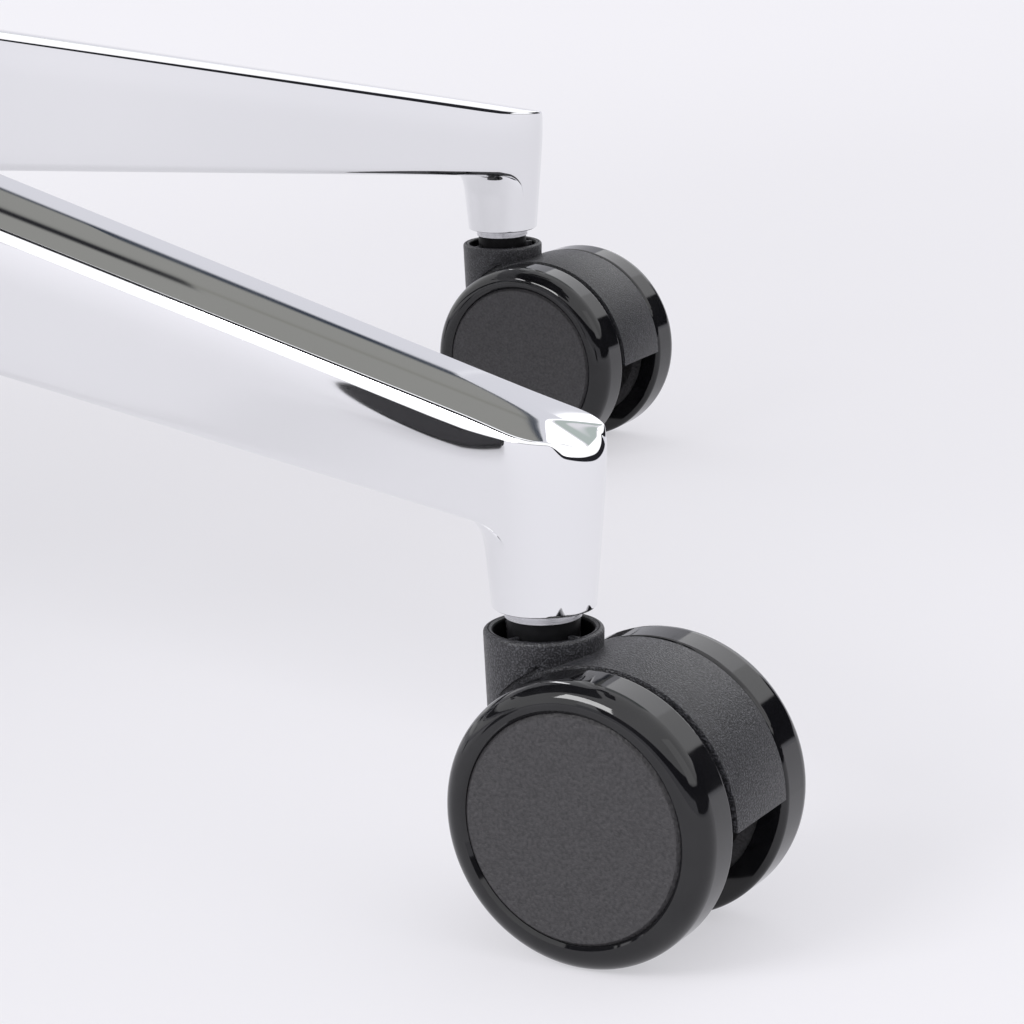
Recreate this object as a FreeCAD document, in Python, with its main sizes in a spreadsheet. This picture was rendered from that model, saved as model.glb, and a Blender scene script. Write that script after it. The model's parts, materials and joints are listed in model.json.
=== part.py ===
import FreeCAD, Part
import math
import os
import re

import Sketcher

# Task chair on a chrome five-star base with hooded twin-wheel casters.
# Millimetres, +Z up, the column axis on Z and the floor at Z = 0. The sitter faces -Y.

V = FreeCAD.Vector
LEGS = 5
CROWN_SHARE = 0.7
RIB_PAIRS = 3
KNOB_FLUTES = 8
FLUTE_SHARE = 1.12
LEG_STEP = 360 / LEGS
FIRST_LEG = -90
SIDES = (("left", 1), ("right", -1))

SIZES = (
    # Caster: wheels, hood and pivot
    ("wheel_d", 50, "wheel diameter over the tread"),
    ("trail", 15.5, "swivel axis to axle"),
    ("caster_heading", -12.7, "direction in which every caster trails, degrees from +X"),
    ("caster_width", 40.8, "width over both wheels"),
    ("tread_width", 10.6, "width of one tread"),
    ("tread_height", 4.9, "radial height of the tread ring"),
    ("tread_round", 3.9, "rounding of the outer tread corner"),
    ("tread_inner_round", 1.2, "rounding of the inner tread corner"),
    ("disc_sink", 0.2, "wheel disc below the tread's outer face"),
    ("disc_wall", 2.2, "thickness of the wheel disc"),
    ("disc_chamfer", 0.6, "groove between disc and tread"),
    ("rim_wall", 2.6, "thickness of the wheel rim"),
    ("rim_inset", 0.6, "rim back from the tread's inner face"),
    ("wheel_hub_d", 12.4, "hub of a wheel"),
    ("axle_d", 6, "wheel axle"),
    ("axle_cover", 2.6, "disc material over the axle end"),
    ("running_fit", 0.05, "radial clearance of turning and sliding fits"),
    ("hood_gap", 0.6, "hood side to tread"),
    ("fender_over", 0.2, "fender radius over the wheel radius"),
    ("fender_wall", 3.2, "thickness of the fender"),
    ("fender_sweep", 172, "angle covered by the fender, degrees from the trailing end"),
    ("web_width", 8, "web under the fender"),
    ("wheel_notch", 1.1, "clearance of the cup around the wheels"),
    ("cup_d", 20.6, "hood cup at its rim"),
    ("cup_foot_d", 19.6, "hood cup at its foot"),
    ("cup_rise", 27.7, "axle to cup rim"),
    ("cup_length", 17, "outer height of the cup"),
    ("cup_wall", 1.65, "cup wall at the rim"),
    ("cup_well", 6, "depth of the open cup"),
    ("cup_round", 0.7, "rounding of the cup rim"),
    ("pivot_d", 8, "lower end of the caster stem"),
    ("pivot_length", 20.4, "lower end of the stem inside the hood"),
    ("pivot_boss_d", 12.4, "boss around the stem"),
    ("pivot_floor", 2.5, "hood material under the stem"),
    ("rib_width", 1.2, "ribs inside the cup"),
    ("rib_rise", 2.4, "ribs above the floor of the cup"),
    ("swivel_gap", 3.9, "cup rim to leg sleeve"),
    # Stem and socket
    ("stem_d", 11, "caster stem in its socket"),
    ("stem_collar_d", 13.2, "collar of the stem under the sleeve"),
    ("stem_collar", 1.8, "thickness of the stem collar"),
    ("stem_length", 23, "stem above the sleeve foot"),
    ("grip_ring_width", 2, "snap ring on the stem"),
    ("grip_ring_depth", 0.9, "groove depth of the snap ring"),
    ("grip_ring_drop", 4, "stem top to snap ring"),
    ("socket_d", 14, "socket bush outside"),
    ("socket_length", 25, "length of the socket bush"),
    # Five-star base
    ("leg_reach", 300, "column axis to swivel axis"),
    ("sleeve_length", 33, "sleeve foot to leg top at the swivel axis"),
    ("sleeve_foot_d", 17.4, "leg sleeve at its foot"),
    ("sleeve_top_d", 21.4, "leg sleeve at the leg top"),
    ("leg_end_width", 21.2, "leg width at the swivel axis"),
    ("leg_end_depth", 18.5, "leg depth at the swivel axis"),
    ("leg_hub_width", 28.4, "leg width at the hub"),
    ("leg_hub_depth", 44.3, "leg depth at the hub"),
    ("leg_rise", 60.7, "rise of the leg top from sleeve to hub"),
    ("leg_crown", 1, "crown of the leg top across its width"),
    ("leg_round", 2.3, "rounding of the upper leg edges"),
    ("leg_floor_round", 2, "rounding of the lower leg edges"),
    ("leg_wall", 2.4, "sheet thickness of the leg"),
    ("cap_fall", 14, "extra fall of the facet at the leg end, degrees"),
    ("gusset", 4, "weld gusset under the leg at the sleeve"),
    ("hub_d", 62, "hub outside"),
    ("hub_lip", 7, "hub above the legs"),
    ("hub_skirt", 6, "hub below the legs"),
    ("hub_round", 2.5, "rounding of the hub rim"),
    # Gas lift column
    ("column_d", 50, "column tube outside"),
    ("column_taper", 1.7, "radius lost by the tube through the hub"),
    ("column_wall", 4, "wall of the column tube above the hub"),
    ("column_tail", 11, "column below the hub"),
    ("column_rise", 111, "column above the hub"),
    ("column_floor", 4, "floor plate of the column"),
    ("bush_length", 70, "guide bush in the column"),
    ("bush_flange", 3, "flange of the guide bush"),
    ("cylinder_d", 28, "gas cylinder outside"),
    ("cylinder_bore_d", 22, "gas cylinder inside"),
    ("cylinder_length", 210, "gas cylinder, end to end"),
    ("cylinder_gland", 8, "lower gland of the gas cylinder"),
    ("cylinder_cap", 16, "upper end of the gas cylinder"),
    ("rod_d", 10, "piston rod"),
    ("rod_tail", 10, "piston rod below the column"),
    ("piston_length", 12, "piston on the rod"),
    ("piston_gap", 22, "piston to the top of the cylinder at rest"),
    ("bearing_d", 26, "thrust bearing outside"),
    ("bearing_height", 7, "thrust bearing height"),
    ("rod_collar_d", 18, "rod collar on the thrust bearing"),
    ("rod_collar_height", 5, "height of the rod collar"),
    ("clip_d", 20, "retaining clip outside"),
    ("clip_thickness", 3, "thickness of the retaining clip"),
    ("clip_groove", 0.8, "groove depth of the retaining clip"),
    ("lift_gap", 28, "guide bush to mechanism at the lowest seat"),
    # Tilt mechanism under the seat
    ("housing_width", 124, "mechanism housing, side to side"),
    ("housing_front", 95, "column axis to the front wall"),
    ("housing_rear", 118, "column axis to the rear wall"),
    ("housing_height", 50, "mechanism housing, top to bottom"),
    ("housing_wall", 4, "wall of the housing"),
    ("housing_round", 14, "rounding of the housing corners"),
    ("housing_boss_d", 46, "boss that takes the gas cylinder"),
    ("taper_length", 40, "gas cylinder inside the mechanism"),
    ("taper_loss", 0.8, "radius lost along the cylinder taper"),
    ("tilt_pin_d", 12, "tilt pin"),
    ("tilt_pin_drop", 27, "tilt pin below the top of the housing"),
    ("spring_d", 30, "rubber torsion spring"),
    ("spring_length", 38, "length of one torsion spring"),
    ("spring_gap", 3, "torsion spring to the rear wall"),
    ("lever_d", 8, "lever rod"),
    ("lever_drop", 20, "lever rod below the top of the housing"),
    ("lever_inside", 24, "lever rod inside the housing"),
    ("lever_reach", 240, "column axis to the lever crank"),
    ("lever_throw", 46, "lever crank, forward on the height lever and rearward on the tilt lever"),
    ("lever_grip_length", 64, "lever paddle"),
    ("lever_grip_width", 26, "lever paddle across"),
    ("lever_grip_depth", 10, "lever paddle thickness"),
    ("height_lever_y", -34, "height lever from the column axis"),
    ("tilt_lever_y", 44, "tilt lever from the column axis"),
    ("knob_d", 46, "tension knob"),
    ("knob_length", 34, "length of the tension knob"),
    ("knob_gap", 3, "tension knob to the housing"),
    ("knob_shaft_d", 10, "shaft of the tension knob"),
    ("knob_shaft_inside", 30, "shaft inside the housing"),
    ("knob_pan_gap", 2, "tension knob below the seat pan"),
    ("knob_flute_d", 12, "finger flutes of the tension knob"),
    # Seat
    ("seat_forward", 22, "seat centre ahead of the column axis"),
    ("pan_width", 440, "seat pan, side to side"),
    ("pan_depth", 424, "seat pan, front to back"),
    ("pan_thickness", 14, "seat pan"),
    ("pan_round", 70, "corner rounding of the seat pan"),
    ("pan_edge", 5, "edge rounding of the seat pan"),
    ("cushion_width", 492, "seat cushion, side to side"),
    ("cushion_depth", 478, "seat cushion, front to back"),
    ("cushion_height", 78, "seat cushion at its crown"),
    ("cushion_corner", 85, "corner rounding of the seat cushion"),
    ("cushion_tuck", 16, "sides of the seat cushion drawn in below"),
    ("cushion_front_fall", 110, "length of the waterfall front"),
    ("cushion_rear_fall", 60, "length of the rear roll"),
    ("seat_bolt_d", 8, "seat bolts"),
    ("seat_bolt_head_d", 14, "seat bolt heads"),
    ("seat_bolt_head", 5, "height of the bolt heads"),
    ("seat_bolt_grip", 9, "seat bolts inside the pan"),
    ("seat_bolt_x", 42, "seat bolts from the middle"),
    ("seat_bolt_front", 70, "front seat bolts from the column axis"),
    ("seat_bolt_rear", 66, "rear seat bolts from the column axis"),
    # Armrests
    ("arm_gap", 14, "seat cushion to arm bracket"),
    ("arm_y", 20, "arm posts behind the column axis"),
    ("arm_sleeve_width", 64, "arm bracket, front to back"),
    ("arm_sleeve_depth", 28, "arm bracket upright, side to side"),
    ("arm_sleeve_rise", 190, "arm bracket above the seat pan"),
    ("arm_foot_inner", 110, "inner end of the arm bracket from the seat middle"),
    ("arm_plate", 9, "arm bracket under the pan"),
    ("arm_bend", 34, "outer bend of the arm bracket"),
    ("post_width", 48, "arm post, front to back"),
    ("post_depth", 15, "arm post, side to side"),
    ("post_fit", 0.3, "arm post to bracket, each side"),
    ("post_inside", 120, "arm post inside the bracket at rest"),
    ("post_out", 72, "arm post above the bracket at rest"),
    ("arm_bolt_d", 7, "arm bolts"),
    ("arm_bolt_head_d", 13, "arm bolt heads"),
    ("arm_bolt_head", 4.5, "height of the arm bolt heads"),
    ("arm_bolt_grip", 9, "arm bolts inside the pan"),
    ("arm_bolt_inset", 30, "arm bolts from the inner end of the bracket"),
    ("arm_bolt_pitch", 36, "arm bolts of one bracket apart"),
    ("pad_length", 250, "arm pad, front to back"),
    ("pad_width", 88, "arm pad, side to side"),
    ("pad_height", 30, "arm pad"),
    ("pad_forward", 28, "arm pad middle ahead of its post"),
    ("pad_corner", 34, "corner rounding of the arm pad"),
    ("pad_tuck", 5, "sides of the arm pad drawn in below"),
    # Backrest and its spine
    ("back_tilt", 10, "backrest leaning back at rest, degrees"),
    ("back_setback", 292, "spine behind the column axis at the foot of the backrest"),
    ("back_lift", 62, "foot of the backrest above the seat cushion"),
    ("spine_width", 70, "spine bar, side to side"),
    ("spine_thickness", 10, "spine bar"),
    ("spine_bend", 66, "inner bend of the spine bar"),
    ("spine_length", 288, "spine above the foot of the backrest"),
    ("yoke_cheek", 9, "cheek of the spine yoke"),
    ("yoke_gap", 1, "cheek to housing"),
    ("yoke_d", 30, "cheek around the tilt pin"),
    ("bridge_gap", 12, "housing to the bridge of the yoke"),
    ("bridge_depth", 24, "bridge of the yoke, front to back"),
    ("shell_height", 480, "backrest shell, foot to top"),
    ("shell_foot_width", 372, "backrest shell at its foot"),
    ("shell_wide", 440, "backrest shell at its widest"),
    ("shell_wide_at", 320, "height of the widest place"),
    ("shell_top_width", 386, "backrest shell at its top"),
    ("shell_foot_round", 70, "lower corners of the shell"),
    ("shell_top_round", 96, "upper corners of the shell"),
    ("shell_wall", 8, "thickness of the shell"),
    ("shell_foot_y", 18, "spine middle to the back of the shell at its foot"),
    ("shell_lumbar_y", 38, "spine middle to the back of the shell at the lumbar curve"),
    ("shell_top_y", 14, "spine middle to the back of the shell at its top"),
    ("lumbar_at", 170, "height of the lumbar curve"),
    ("lumbar_bend", 420, "bend of the lumbar curve"),
    ("guide_foot", 44, "foot of the spine guide"),
    ("guide_end_gap", 10, "top of the spine to the end of its guide"),
    ("guide_wall", 6, "wall of the spine guide"),
    ("guide_fit", 0.35, "spine to its guide, each side"),
    ("boss_at", 418, "height of the accessory bosses"),
    ("boss_pitch", 60, "accessory bosses apart"),
    ("boss_d", 17, "accessory boss"),
    ("boss_rise", 14, "accessory boss behind the shell"),
    ("boss_hole_d", 6, "threaded hole of a boss"),
    ("boss_hole_depth", 14, "depth of the threaded hole"),
    ("back_pad_gap", 0.3, "back cushion to shell"),
    ("back_pad_inset", 6, "back cushion inside the edge of the shell"),
    ("back_pad_height", 58, "back cushion at its crown"),
    ("back_pad_corner", 88, "corner rounding of the back cushion"),
    ("back_pad_tuck", 12, "sides of the back cushion drawn in"),
    ("back_pad_fall", 70, "length of the rolled ends of the back cushion"),
)
NAMES = {name for name, value, meaning in SIZES}

# Heights, built up from the floor
AXLE_Z = "(wheel_d / 2)"
CUP_TOP = f"({AXLE_Z} + cup_rise)"
CUP_FLOOR = f"({CUP_TOP} - cup_well)"
SLEEVE_FOOT = f"({CUP_TOP} + swivel_gap)"
COLLAR_FOOT = f"({SLEEVE_FOOT} - stem_collar)"
BOSS_TOP = f"({COLLAR_FOOT} - running_fit)"
PIVOT_FOOT = f"({BOSS_TOP} - pivot_length)"
STEM_TOP = f"({SLEEVE_FOOT} + stem_length)"
LEG_END_TOP = f"({SLEEVE_FOOT} + sleeve_length)"
LEG_END_FLOOR = f"({LEG_END_TOP} - leg_end_depth)"
LEG_HUB_TOP = f"({LEG_END_TOP} + leg_rise)"
LEG_HUB_FLOOR = f"({LEG_HUB_TOP} - leg_hub_depth)"
HUB_TOP = f"({LEG_HUB_TOP} + hub_lip)"
HUB_FOOT = f"({LEG_HUB_FLOOR} - hub_skirt)"
COLUMN_FOOT = f"({HUB_FOOT} - column_tail)"
COLUMN_TOP = f"({HUB_TOP} + column_rise)"
BUSH_TOP = f"({COLUMN_TOP} + bush_flange)"
HOUSING_FOOT = f"({BUSH_TOP} + lift_gap)"
HOUSING_TOP = f"({HOUSING_FOOT} + housing_height)"
CYLINDER_TOP = f"({HOUSING_FOOT} + taper_length)"
CYLINDER_FOOT = f"({CYLINDER_TOP} - cylinder_length)"
BEARING_TOP = f"({COLUMN_FOOT} + column_floor + bearing_height)"
PISTON_TOP = f"({CYLINDER_TOP} - cylinder_cap - piston_gap)"
TILT_PIN_Y = "(housing_rear - housing_wall - spring_gap - spring_d / 2)"
TILT_PIN_Z = f"({HOUSING_TOP} - tilt_pin_drop)"
LEVER_Z = f"({HOUSING_TOP} - lever_drop)"
KNOB_Z = f"({HOUSING_TOP} - knob_pan_gap - knob_d / 2)"
PAN_TOP = f"({HOUSING_TOP} + pan_thickness)"
SEAT_TOP = f"({PAN_TOP} + cushion_height)"
ARM_SLEEVE_TOP = f"({PAN_TOP} + arm_sleeve_rise)"
POST_TOP = f"({ARM_SLEEVE_TOP} + post_out)"
BACK_FOOT = f"({SEAT_TOP} + back_lift)"

# Widths and radii shared by several pieces
RIM_R = f"({AXLE_Z} - tread_height)"
TREAD_OUT = "(caster_width / 2)"
TREAD_IN = f"({TREAD_OUT} - tread_width)"
DISC_OUT = f"({TREAD_OUT} - disc_sink)"
HOOD_HALF = f"({TREAD_IN} - hood_gap)"
FENDER_R = f"({AXLE_Z} + fender_over)"
PIVOT_R = "(pivot_d / 2)"
SIDE_WALL = "(housing_width / 2)"
YOKE_IN = f"({SIDE_WALL} + yoke_gap)"
YOKE_OUT = f"({YOKE_IN} + yoke_cheek)"
BRIDGE_FRONT = "(housing_rear + bridge_gap)"
ARM_INNER = "(cushion_width / 2 + arm_gap)"
ARM_OUTER = f"({ARM_INNER} + arm_sleeve_depth)"
ARM_MIDDLE = f"({ARM_INNER} + arm_sleeve_depth / 2)"
GUIDE_TOP = "(spine_length + guide_end_gap + guide_wall)"

doc = FreeCAD.newDocument("task_chair")
sheet = doc.addObject("Spreadsheet::Sheet", "dims")
for row, (alias, value, meaning) in enumerate(SIZES, start=1):
    sheet.set(f"A{row}", meaning)
    sheet.set(f"B{row}", str(value))
    sheet.setAlias(f"B{row}", alias)
doc.recompute()

nodes = []


def bound(expression):
    """The expression with every size read from the sheet."""
    def cell(word):
        return f"dims.{word[0]}" if word[0] in NAMES else word[0]

    return re.sub(r"[A-Za-z_]\w*", cell, str(expression))


def size(expression):
    """The present value of an expression, in millimetres or degrees."""
    return float(sheet.evalExpression(str(expression)))


def bind(obj, **expressions):
    for prop, expression in expressions.items():
        obj.setExpression(prop.replace("__", "."), bound(expression))
    return obj


def place(obj, x=0, y=0, z=0, axis=(0, 0, 1), angle=0):
    """Bind the whole placement: a turn about an axis, then a move."""
    turn = f"rotation(vector({axis[0]}; {axis[1]}; {axis[2]}); {bound(angle)})"
    obj.setExpression("Placement", f"placement(vector({bound(x)}; {bound(y)}; {bound(z)}); {turn})")
    return obj


def node(obj, label):
    """Keep an object as one sub-part of the chair."""
    obj.Label = label
    nodes.append(obj)
    return obj


def box(name, low, high):
    """A block between two corners."""
    obj = doc.addObject("Part::Box", name)
    spans = [f"({b}) - ({a})" for a, b in zip(low, high)]
    bind(obj, Length=spans[0], Width=spans[1], Height=spans[2])
    return place(obj, *low)


AXES = {"x": ((0, 1, 0), 90), "y": ((1, 0, 0), -90), "z": ((0, 0, 1), 0)}


def cylinder(name, radius, length, at, along="z"):
    obj = doc.addObject("Part::Cylinder", name)
    bind(obj, Radius=radius, Height=length)
    axis, angle = AXES[along]
    return place(obj, *at, axis=axis, angle=angle)


def cone(name, foot_radius, top_radius, length, at):
    obj = doc.addObject("Part::Cone", name)
    bind(obj, Radius1=foot_radius, Radius2=top_radius, Height=length)
    return place(obj, *at)


def fuse(name, shapes):
    obj = doc.addObject("Part::MultiFuse", name)
    obj.Shapes = shapes
    obj.Refine = True
    return obj


def common(name, shapes):
    obj = doc.addObject("Part::MultiCommon", name)
    obj.Shapes = shapes
    return obj


def cut(name, base, tools):
    """The base less every tool."""
    obj = doc.addObject("Part::Cut", name)
    obj.Base = base
    obj.Tool = tools[0] if len(tools) == 1 else fuse(name + "_tools", tools)
    return obj


def link(name, target):
    obj = doc.addObject("App::Link", name)
    obj.LinkedObject = target
    obj.LinkTransform = True
    return obj


def group(label, items):
    """Identical solids that share one node."""
    obj = doc.addObject("Part::Compound", label)
    obj.Links = items
    return node(obj, label)


def solid(name, shape):
    obj = doc.addObject("Part::Feature", name)
    obj.Shape = shape
    return obj


def unit(a, b):
    step = b - a
    return step / step.Length


def outline(body, role, corners, lift=None):
    """A closed sketch through corners (x, y) or (x, y, rounding), each bound to the sheet."""
    sketch = body.newObject("Sketcher::SketchObject", body.Name + "_outline")
    origin_plane = [item for item in body.Origin.OriginFeatures if item.Role == role][0]
    sketch.AttachmentSupport = [(origin_plane, "")]
    sketch.MapMode = "FlatFace"
    if lift is not None:
        sketch.setExpression(".AttachmentOffset.Base.z", bound(lift))
    points = [V(size(corner[0]), size(corner[1]), 0) for corner in corners]
    rounds = [size(corner[2]) if len(corner) > 2 else 0 for corner in corners]
    count = len(corners)
    starts, ends, turns = [], [], []
    for i, point in enumerate(points):
        into = unit(points[i - 1], point)
        out = unit(point, points[(i + 1) % count])
        turn = into.cross(out).z
        back = rounds[i] * math.tan(math.acos(max(-1, min(1, into.dot(out)))) / 2)
        ends.append(point - into * back)
        starts.append(point + out * back)
        turns.append(turn)
    for i in range(count):
        sketch.addGeometry(Part.LineSegment(starts[i], ends[(i + 1) % count]), False)
    for i, corner in enumerate(corners):
        before = (i - 1) % count
        if rounds[i]:
            into = unit(points[i - 1], points[i])
            left = V(-into.y, into.x, 0) * math.copysign(rounds[i], turns[i])
            centre = ends[i] + left
            first, last = (ends[i], starts[i]) if turns[i] > 0 else (starts[i], ends[i])
            angles = [math.atan2((p - centre).y, (p - centre).x) for p in (first, last)]
            circle = Part.Circle(centre, V(0, 0, 1), rounds[i])
            arc = sketch.addGeometry(Part.ArcOfCircle(circle, angles[0], angles[1]), False)
            tip = sketch.addGeometry(Part.Point(points[i]), True)
            enters, leaves = (1, 2) if turns[i] > 0 else (2, 1)
            sketch.addConstraint(Sketcher.Constraint("Tangent", before, 2, arc, enters))
            sketch.addConstraint(Sketcher.Constraint("Tangent", arc, leaves, i, 1))
            radius = sketch.addConstraint(Sketcher.Constraint("Radius", arc, rounds[i]))
            sketch.setExpression(f"Constraints[{radius}]", bound(corner[2]))
            sketch.addConstraint(Sketcher.Constraint("PointOnObject", tip, 1, before))
            sketch.addConstraint(Sketcher.Constraint("PointOnObject", tip, 1, i))
            mark = (tip, 1)
        else:
            sketch.addConstraint(Sketcher.Constraint("Coincident", before, 2, i, 1))
            mark = (i, 1)
        spots = (("DistanceX", corner[0], points[i].x), ("DistanceY", corner[1], points[i].y))
        for kind, expression, value in spots:
            index = sketch.addConstraint(Sketcher.Constraint(kind, -1, 1, *mark, value))
            sketch.setExpression(f"Constraints[{index}]", bound(expression))
    return sketch


def new_body(name):
    return doc.addObject("PartDesign::Body", name)


def turned(name, profile, role="XZ_Plane"):
    """A full turn of a profile (radius, height) about the vertical axis of its plane."""
    body = new_body(name)
    sketch = outline(body, role, profile)
    feature = body.newObject("PartDesign::Revolution", name + "_turn")
    feature.Profile = sketch
    feature.ReferenceAxis = (sketch, ["V_Axis"])
    feature.Angle = 360
    return body


def tube_section(inner, outer, foot, top):
    return (inner, foot), (outer, foot), (outer, top), (inner, top)


def plate(name, role, corners, thickness, lift=None):
    """An outline padded to both sides of its plane."""
    body = new_body(name)
    feature = body.newObject("PartDesign::Pad", name + "_pad")
    feature.Profile = outline(body, role, corners, lift)
    feature.SideType = "Symmetric"
    bind(feature, Length=thickness)
    return body


def rounded_edges(body, name, radius, wanted):
    """Fillet the edges of the body's last feature that the test picks."""
    doc.recompute()
    last = body.Tip
    edges = [f"Edge{i + 1}" for i, edge in enumerate(last.Shape.Edges) if wanted(edge)]
    feature = body.newObject("PartDesign::Fillet", name)
    feature.Base = (last, edges)
    bind(feature, Radius=radius)
    return body


WAIST_SHARE = 0.42
SHOULDER_SHARE = 0.86


def pillow_section(at, half, height, tuck, shoulder):
    """A crowned cross-section: flat below, sides drawn in at the foot, arched on top."""
    def edge(side):
        foot = at(side * (half - tuck), 0)
        waist = at(side * half, WAIST_SHARE * height)
        return foot, waist, at(side * (half - shoulder), SHOULDER_SHARE * height)

    right, left = edge(1), edge(-1)
    edges = (
        Part.LineSegment(left[0], right[0]).toShape(),
        Part.Arc(right[0], right[1], right[2]).toShape(),
        Part.Arc(right[2], at(0, height), left[2]).toShape(),
        Part.Arc(left[2], left[1], left[0]).toShape(),
    )
    return Part.Wire(edges)


END_STEPS = (0.02, 0.12, 0.35, 0.7, 1.0)


def swell(distance, reach):
    """A quarter round that grows from 0 to 1 over a reach."""
    part = min(distance / reach, 1)
    return math.sqrt(1 - (1 - part) ** 2)


def pillow(length, corner, half_at, height_at, tuck, shoulder, at):
    """A padded form lofted along its length, with corners rounded in plan."""
    stations = [step * corner for step in END_STEPS]
    middle = [length * part for part in (0.35, 0.5, 0.65)]
    stations = stations + middle + [length - station for station in reversed(stations)]
    wires = []
    for along in stations:
        end = min(along, length - along)
        half = half_at(along) - corner * (1 - swell(end, corner))
        height = height_at(along)
        narrow = height / height_at(length / 2)
        wires.append(pillow_section(
            lambda u, v: at(along, u, v), half, height, tuck * narrow, shoulder * narrow))
    return Part.makeLoft(wires, True)


# Casters, modelled once about their own swivel axis and trailing towards +X


def caster_hood():
    half = HOOD_HALF
    cup = turned("hood_cup", (
        (0, f"{CUP_TOP} - cup_length"),
        ("cup_foot_d / 2", f"{CUP_TOP} - cup_length"),
        ("cup_d / 2", CUP_TOP, "cup_round"),
        ("cup_d / 2 - cup_wall", CUP_TOP, "cup_round"),
        ("cup_d / 2 - cup_wall - 0.5 * cup_round", CUP_FLOOR),
        (0, CUP_FLOOR)))
    fender = cylinder("hood_fender", FENDER_R, f"2 * {half}", ("trail", half, AXLE_Z), "z")
    place(fender, "trail", half, AXLE_Z, axis=(1, 0, 0), angle=90)
    bind(fender, Angle="fender_sweep")
    hollow = cylinder("hood_hollow", f"{FENDER_R} - fender_wall", f"4 * {half}",
                      ("trail", f"-2 * {half}", AXLE_Z), "y")
    shell = cut("hood_shell", fender, [hollow])
    web = cylinder("hood_web", f"{FENDER_R} - fender_wall / 2", "web_width", (0, 0, 0))
    place(web, "trail", "web_width / 2", AXLE_Z, axis=(1, 0, 0), angle=90)
    bind(web, Angle="fender_sweep")
    axle_boss = cylinder("hood_axle_boss", "wheel_hub_d / 2", f"2 * {half}",
                         ("trail", f"-{half}", AXLE_Z), "y")
    boss_foot = f"{PIVOT_FOOT} - pivot_floor"
    pivot_boss = cylinder("hood_pivot_boss", "pivot_boss_d / 2", f"{BOSS_TOP} - ({boss_foot})",
                          (0, 0, boss_foot))
    ribs = []
    rib_half = "(cup_d / 2 - cup_wall / 2)"
    for index in range(RIB_PAIRS):
        rib = box(f"hood_rib_{index}", (f"-{rib_half}", "-rib_width / 2", f"{CUP_FLOOR} - cup_wall"),
                  (rib_half, "rib_width / 2", f"{CUP_FLOOR} + rib_rise"))
        angle = (index + 0.5) * 180 / RIB_PAIRS
        ribs.append(place(link(f"hood_rib_{index}_turned", rib), angle=angle))
    whole = fuse("hood_whole", [cup, shell, web, axle_boss, pivot_boss] + ribs)
    notch_r = f"{AXLE_Z} + wheel_notch"
    notches = []
    for name, side in SIDES:
        start = half if side > 0 else f"-{half} - caster_width"
        notches.append(cylinder(f"hood_notch_{name}", notch_r, "caster_width", ("trail", start, AXLE_Z), "y"))
    bore = cylinder("hood_pivot_bore", f"{PIVOT_R} + running_fit", "pivot_length + cup_well",
                    (0, 0, PIVOT_FOOT))
    axle_bore = cylinder("hood_axle_bore", "axle_d / 2", f"4 * {half}",
                         ("trail", f"-2 * {half}", AXLE_Z), "y")
    return cut("hood", whole, notches + [bore, axle_bore])


def caster_axle():
    reach = f"({DISC_OUT} - axle_cover)"
    return cylinder("axle", "axle_d / 2", f"2 * {reach}", ("trail", f"-{reach}", AXLE_Z), "y")


def caster_wheel():
    """Moulded wheel: closed outer disc, rim and hub, with its axle along +Y."""
    bore = "axle_d / 2 + running_fit"
    inner = f"({TREAD_IN} + rim_inset)"
    return turned("wheel", (
        (0, DISC_OUT),
        (f"{RIM_R} - disc_chamfer", DISC_OUT),
        (RIM_R, f"{DISC_OUT} - disc_chamfer"),
        (RIM_R, inner),
        (f"{RIM_R} - rim_wall", inner),
        (f"{RIM_R} - rim_wall", f"{DISC_OUT} - disc_wall"),
        ("wheel_hub_d / 2", f"{DISC_OUT} - disc_wall"),
        ("wheel_hub_d / 2", f"{HOOD_HALF} + running_fit"),
        (bore, f"{HOOD_HALF} + running_fit"),
        (bore, f"{DISC_OUT} - axle_cover + running_fit"),
        (0, f"{DISC_OUT} - axle_cover + running_fit")), "XY_Plane")


def caster_tread():
    """Glossy tread ring with a well rounded outer shoulder."""
    return turned("tread", (
        (RIM_R, TREAD_IN),
        (AXLE_Z, TREAD_IN, "tread_inner_round"),
        (AXLE_Z, TREAD_OUT, "tread_round"),
        (f"{RIM_R} + disc_chamfer", TREAD_OUT),
        (RIM_R, f"{TREAD_OUT} - disc_chamfer")), "XY_Plane")


def casters():
    hood, axle, wheel, tread = caster_hood(), caster_axle(), caster_wheel(), caster_tread()
    for index in range(LEGS):
        angle = FIRST_LEG + index * LEG_STEP
        x = f"leg_reach * cos({angle})"
        y = f"leg_reach * sin({angle})"
        name = f"caster_{index + 1}"
        for piece, master in (("hood", hood), ("axle", axle)):
            place(node(link(f"{name}_{piece}", master), f"{name}_{piece}"), x, y, 0, angle="caster_heading")
        axle_x = f"{x} + trail * cos(caster_heading)"
        axle_y = f"{y} + trail * sin(caster_heading)"
        for side, sign in SIDES:
            turn = "caster_heading" if sign > 0 else "caster_heading + 180"
            for piece, master in (("wheel", wheel), ("tread", tread)):
                label = f"{name}_{side}_{piece}"
                place(node(link(label, master), label), axle_x, axle_y, AXLE_Z, angle=turn)


def round_the_legs(label, master, reach="leg_reach"):
    """One copy of a piece at every leg end."""
    copies = []
    for index in range(LEGS):
        angle = FIRST_LEG + index * LEG_STEP
        copy = link(f"{label}_{index + 1}", master)
        copies.append(place(copy, f"{reach} * cos({angle})", f"{reach} * sin({angle})", 0, angle=angle))
    return group(label, copies)


# Five-star base


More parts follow.
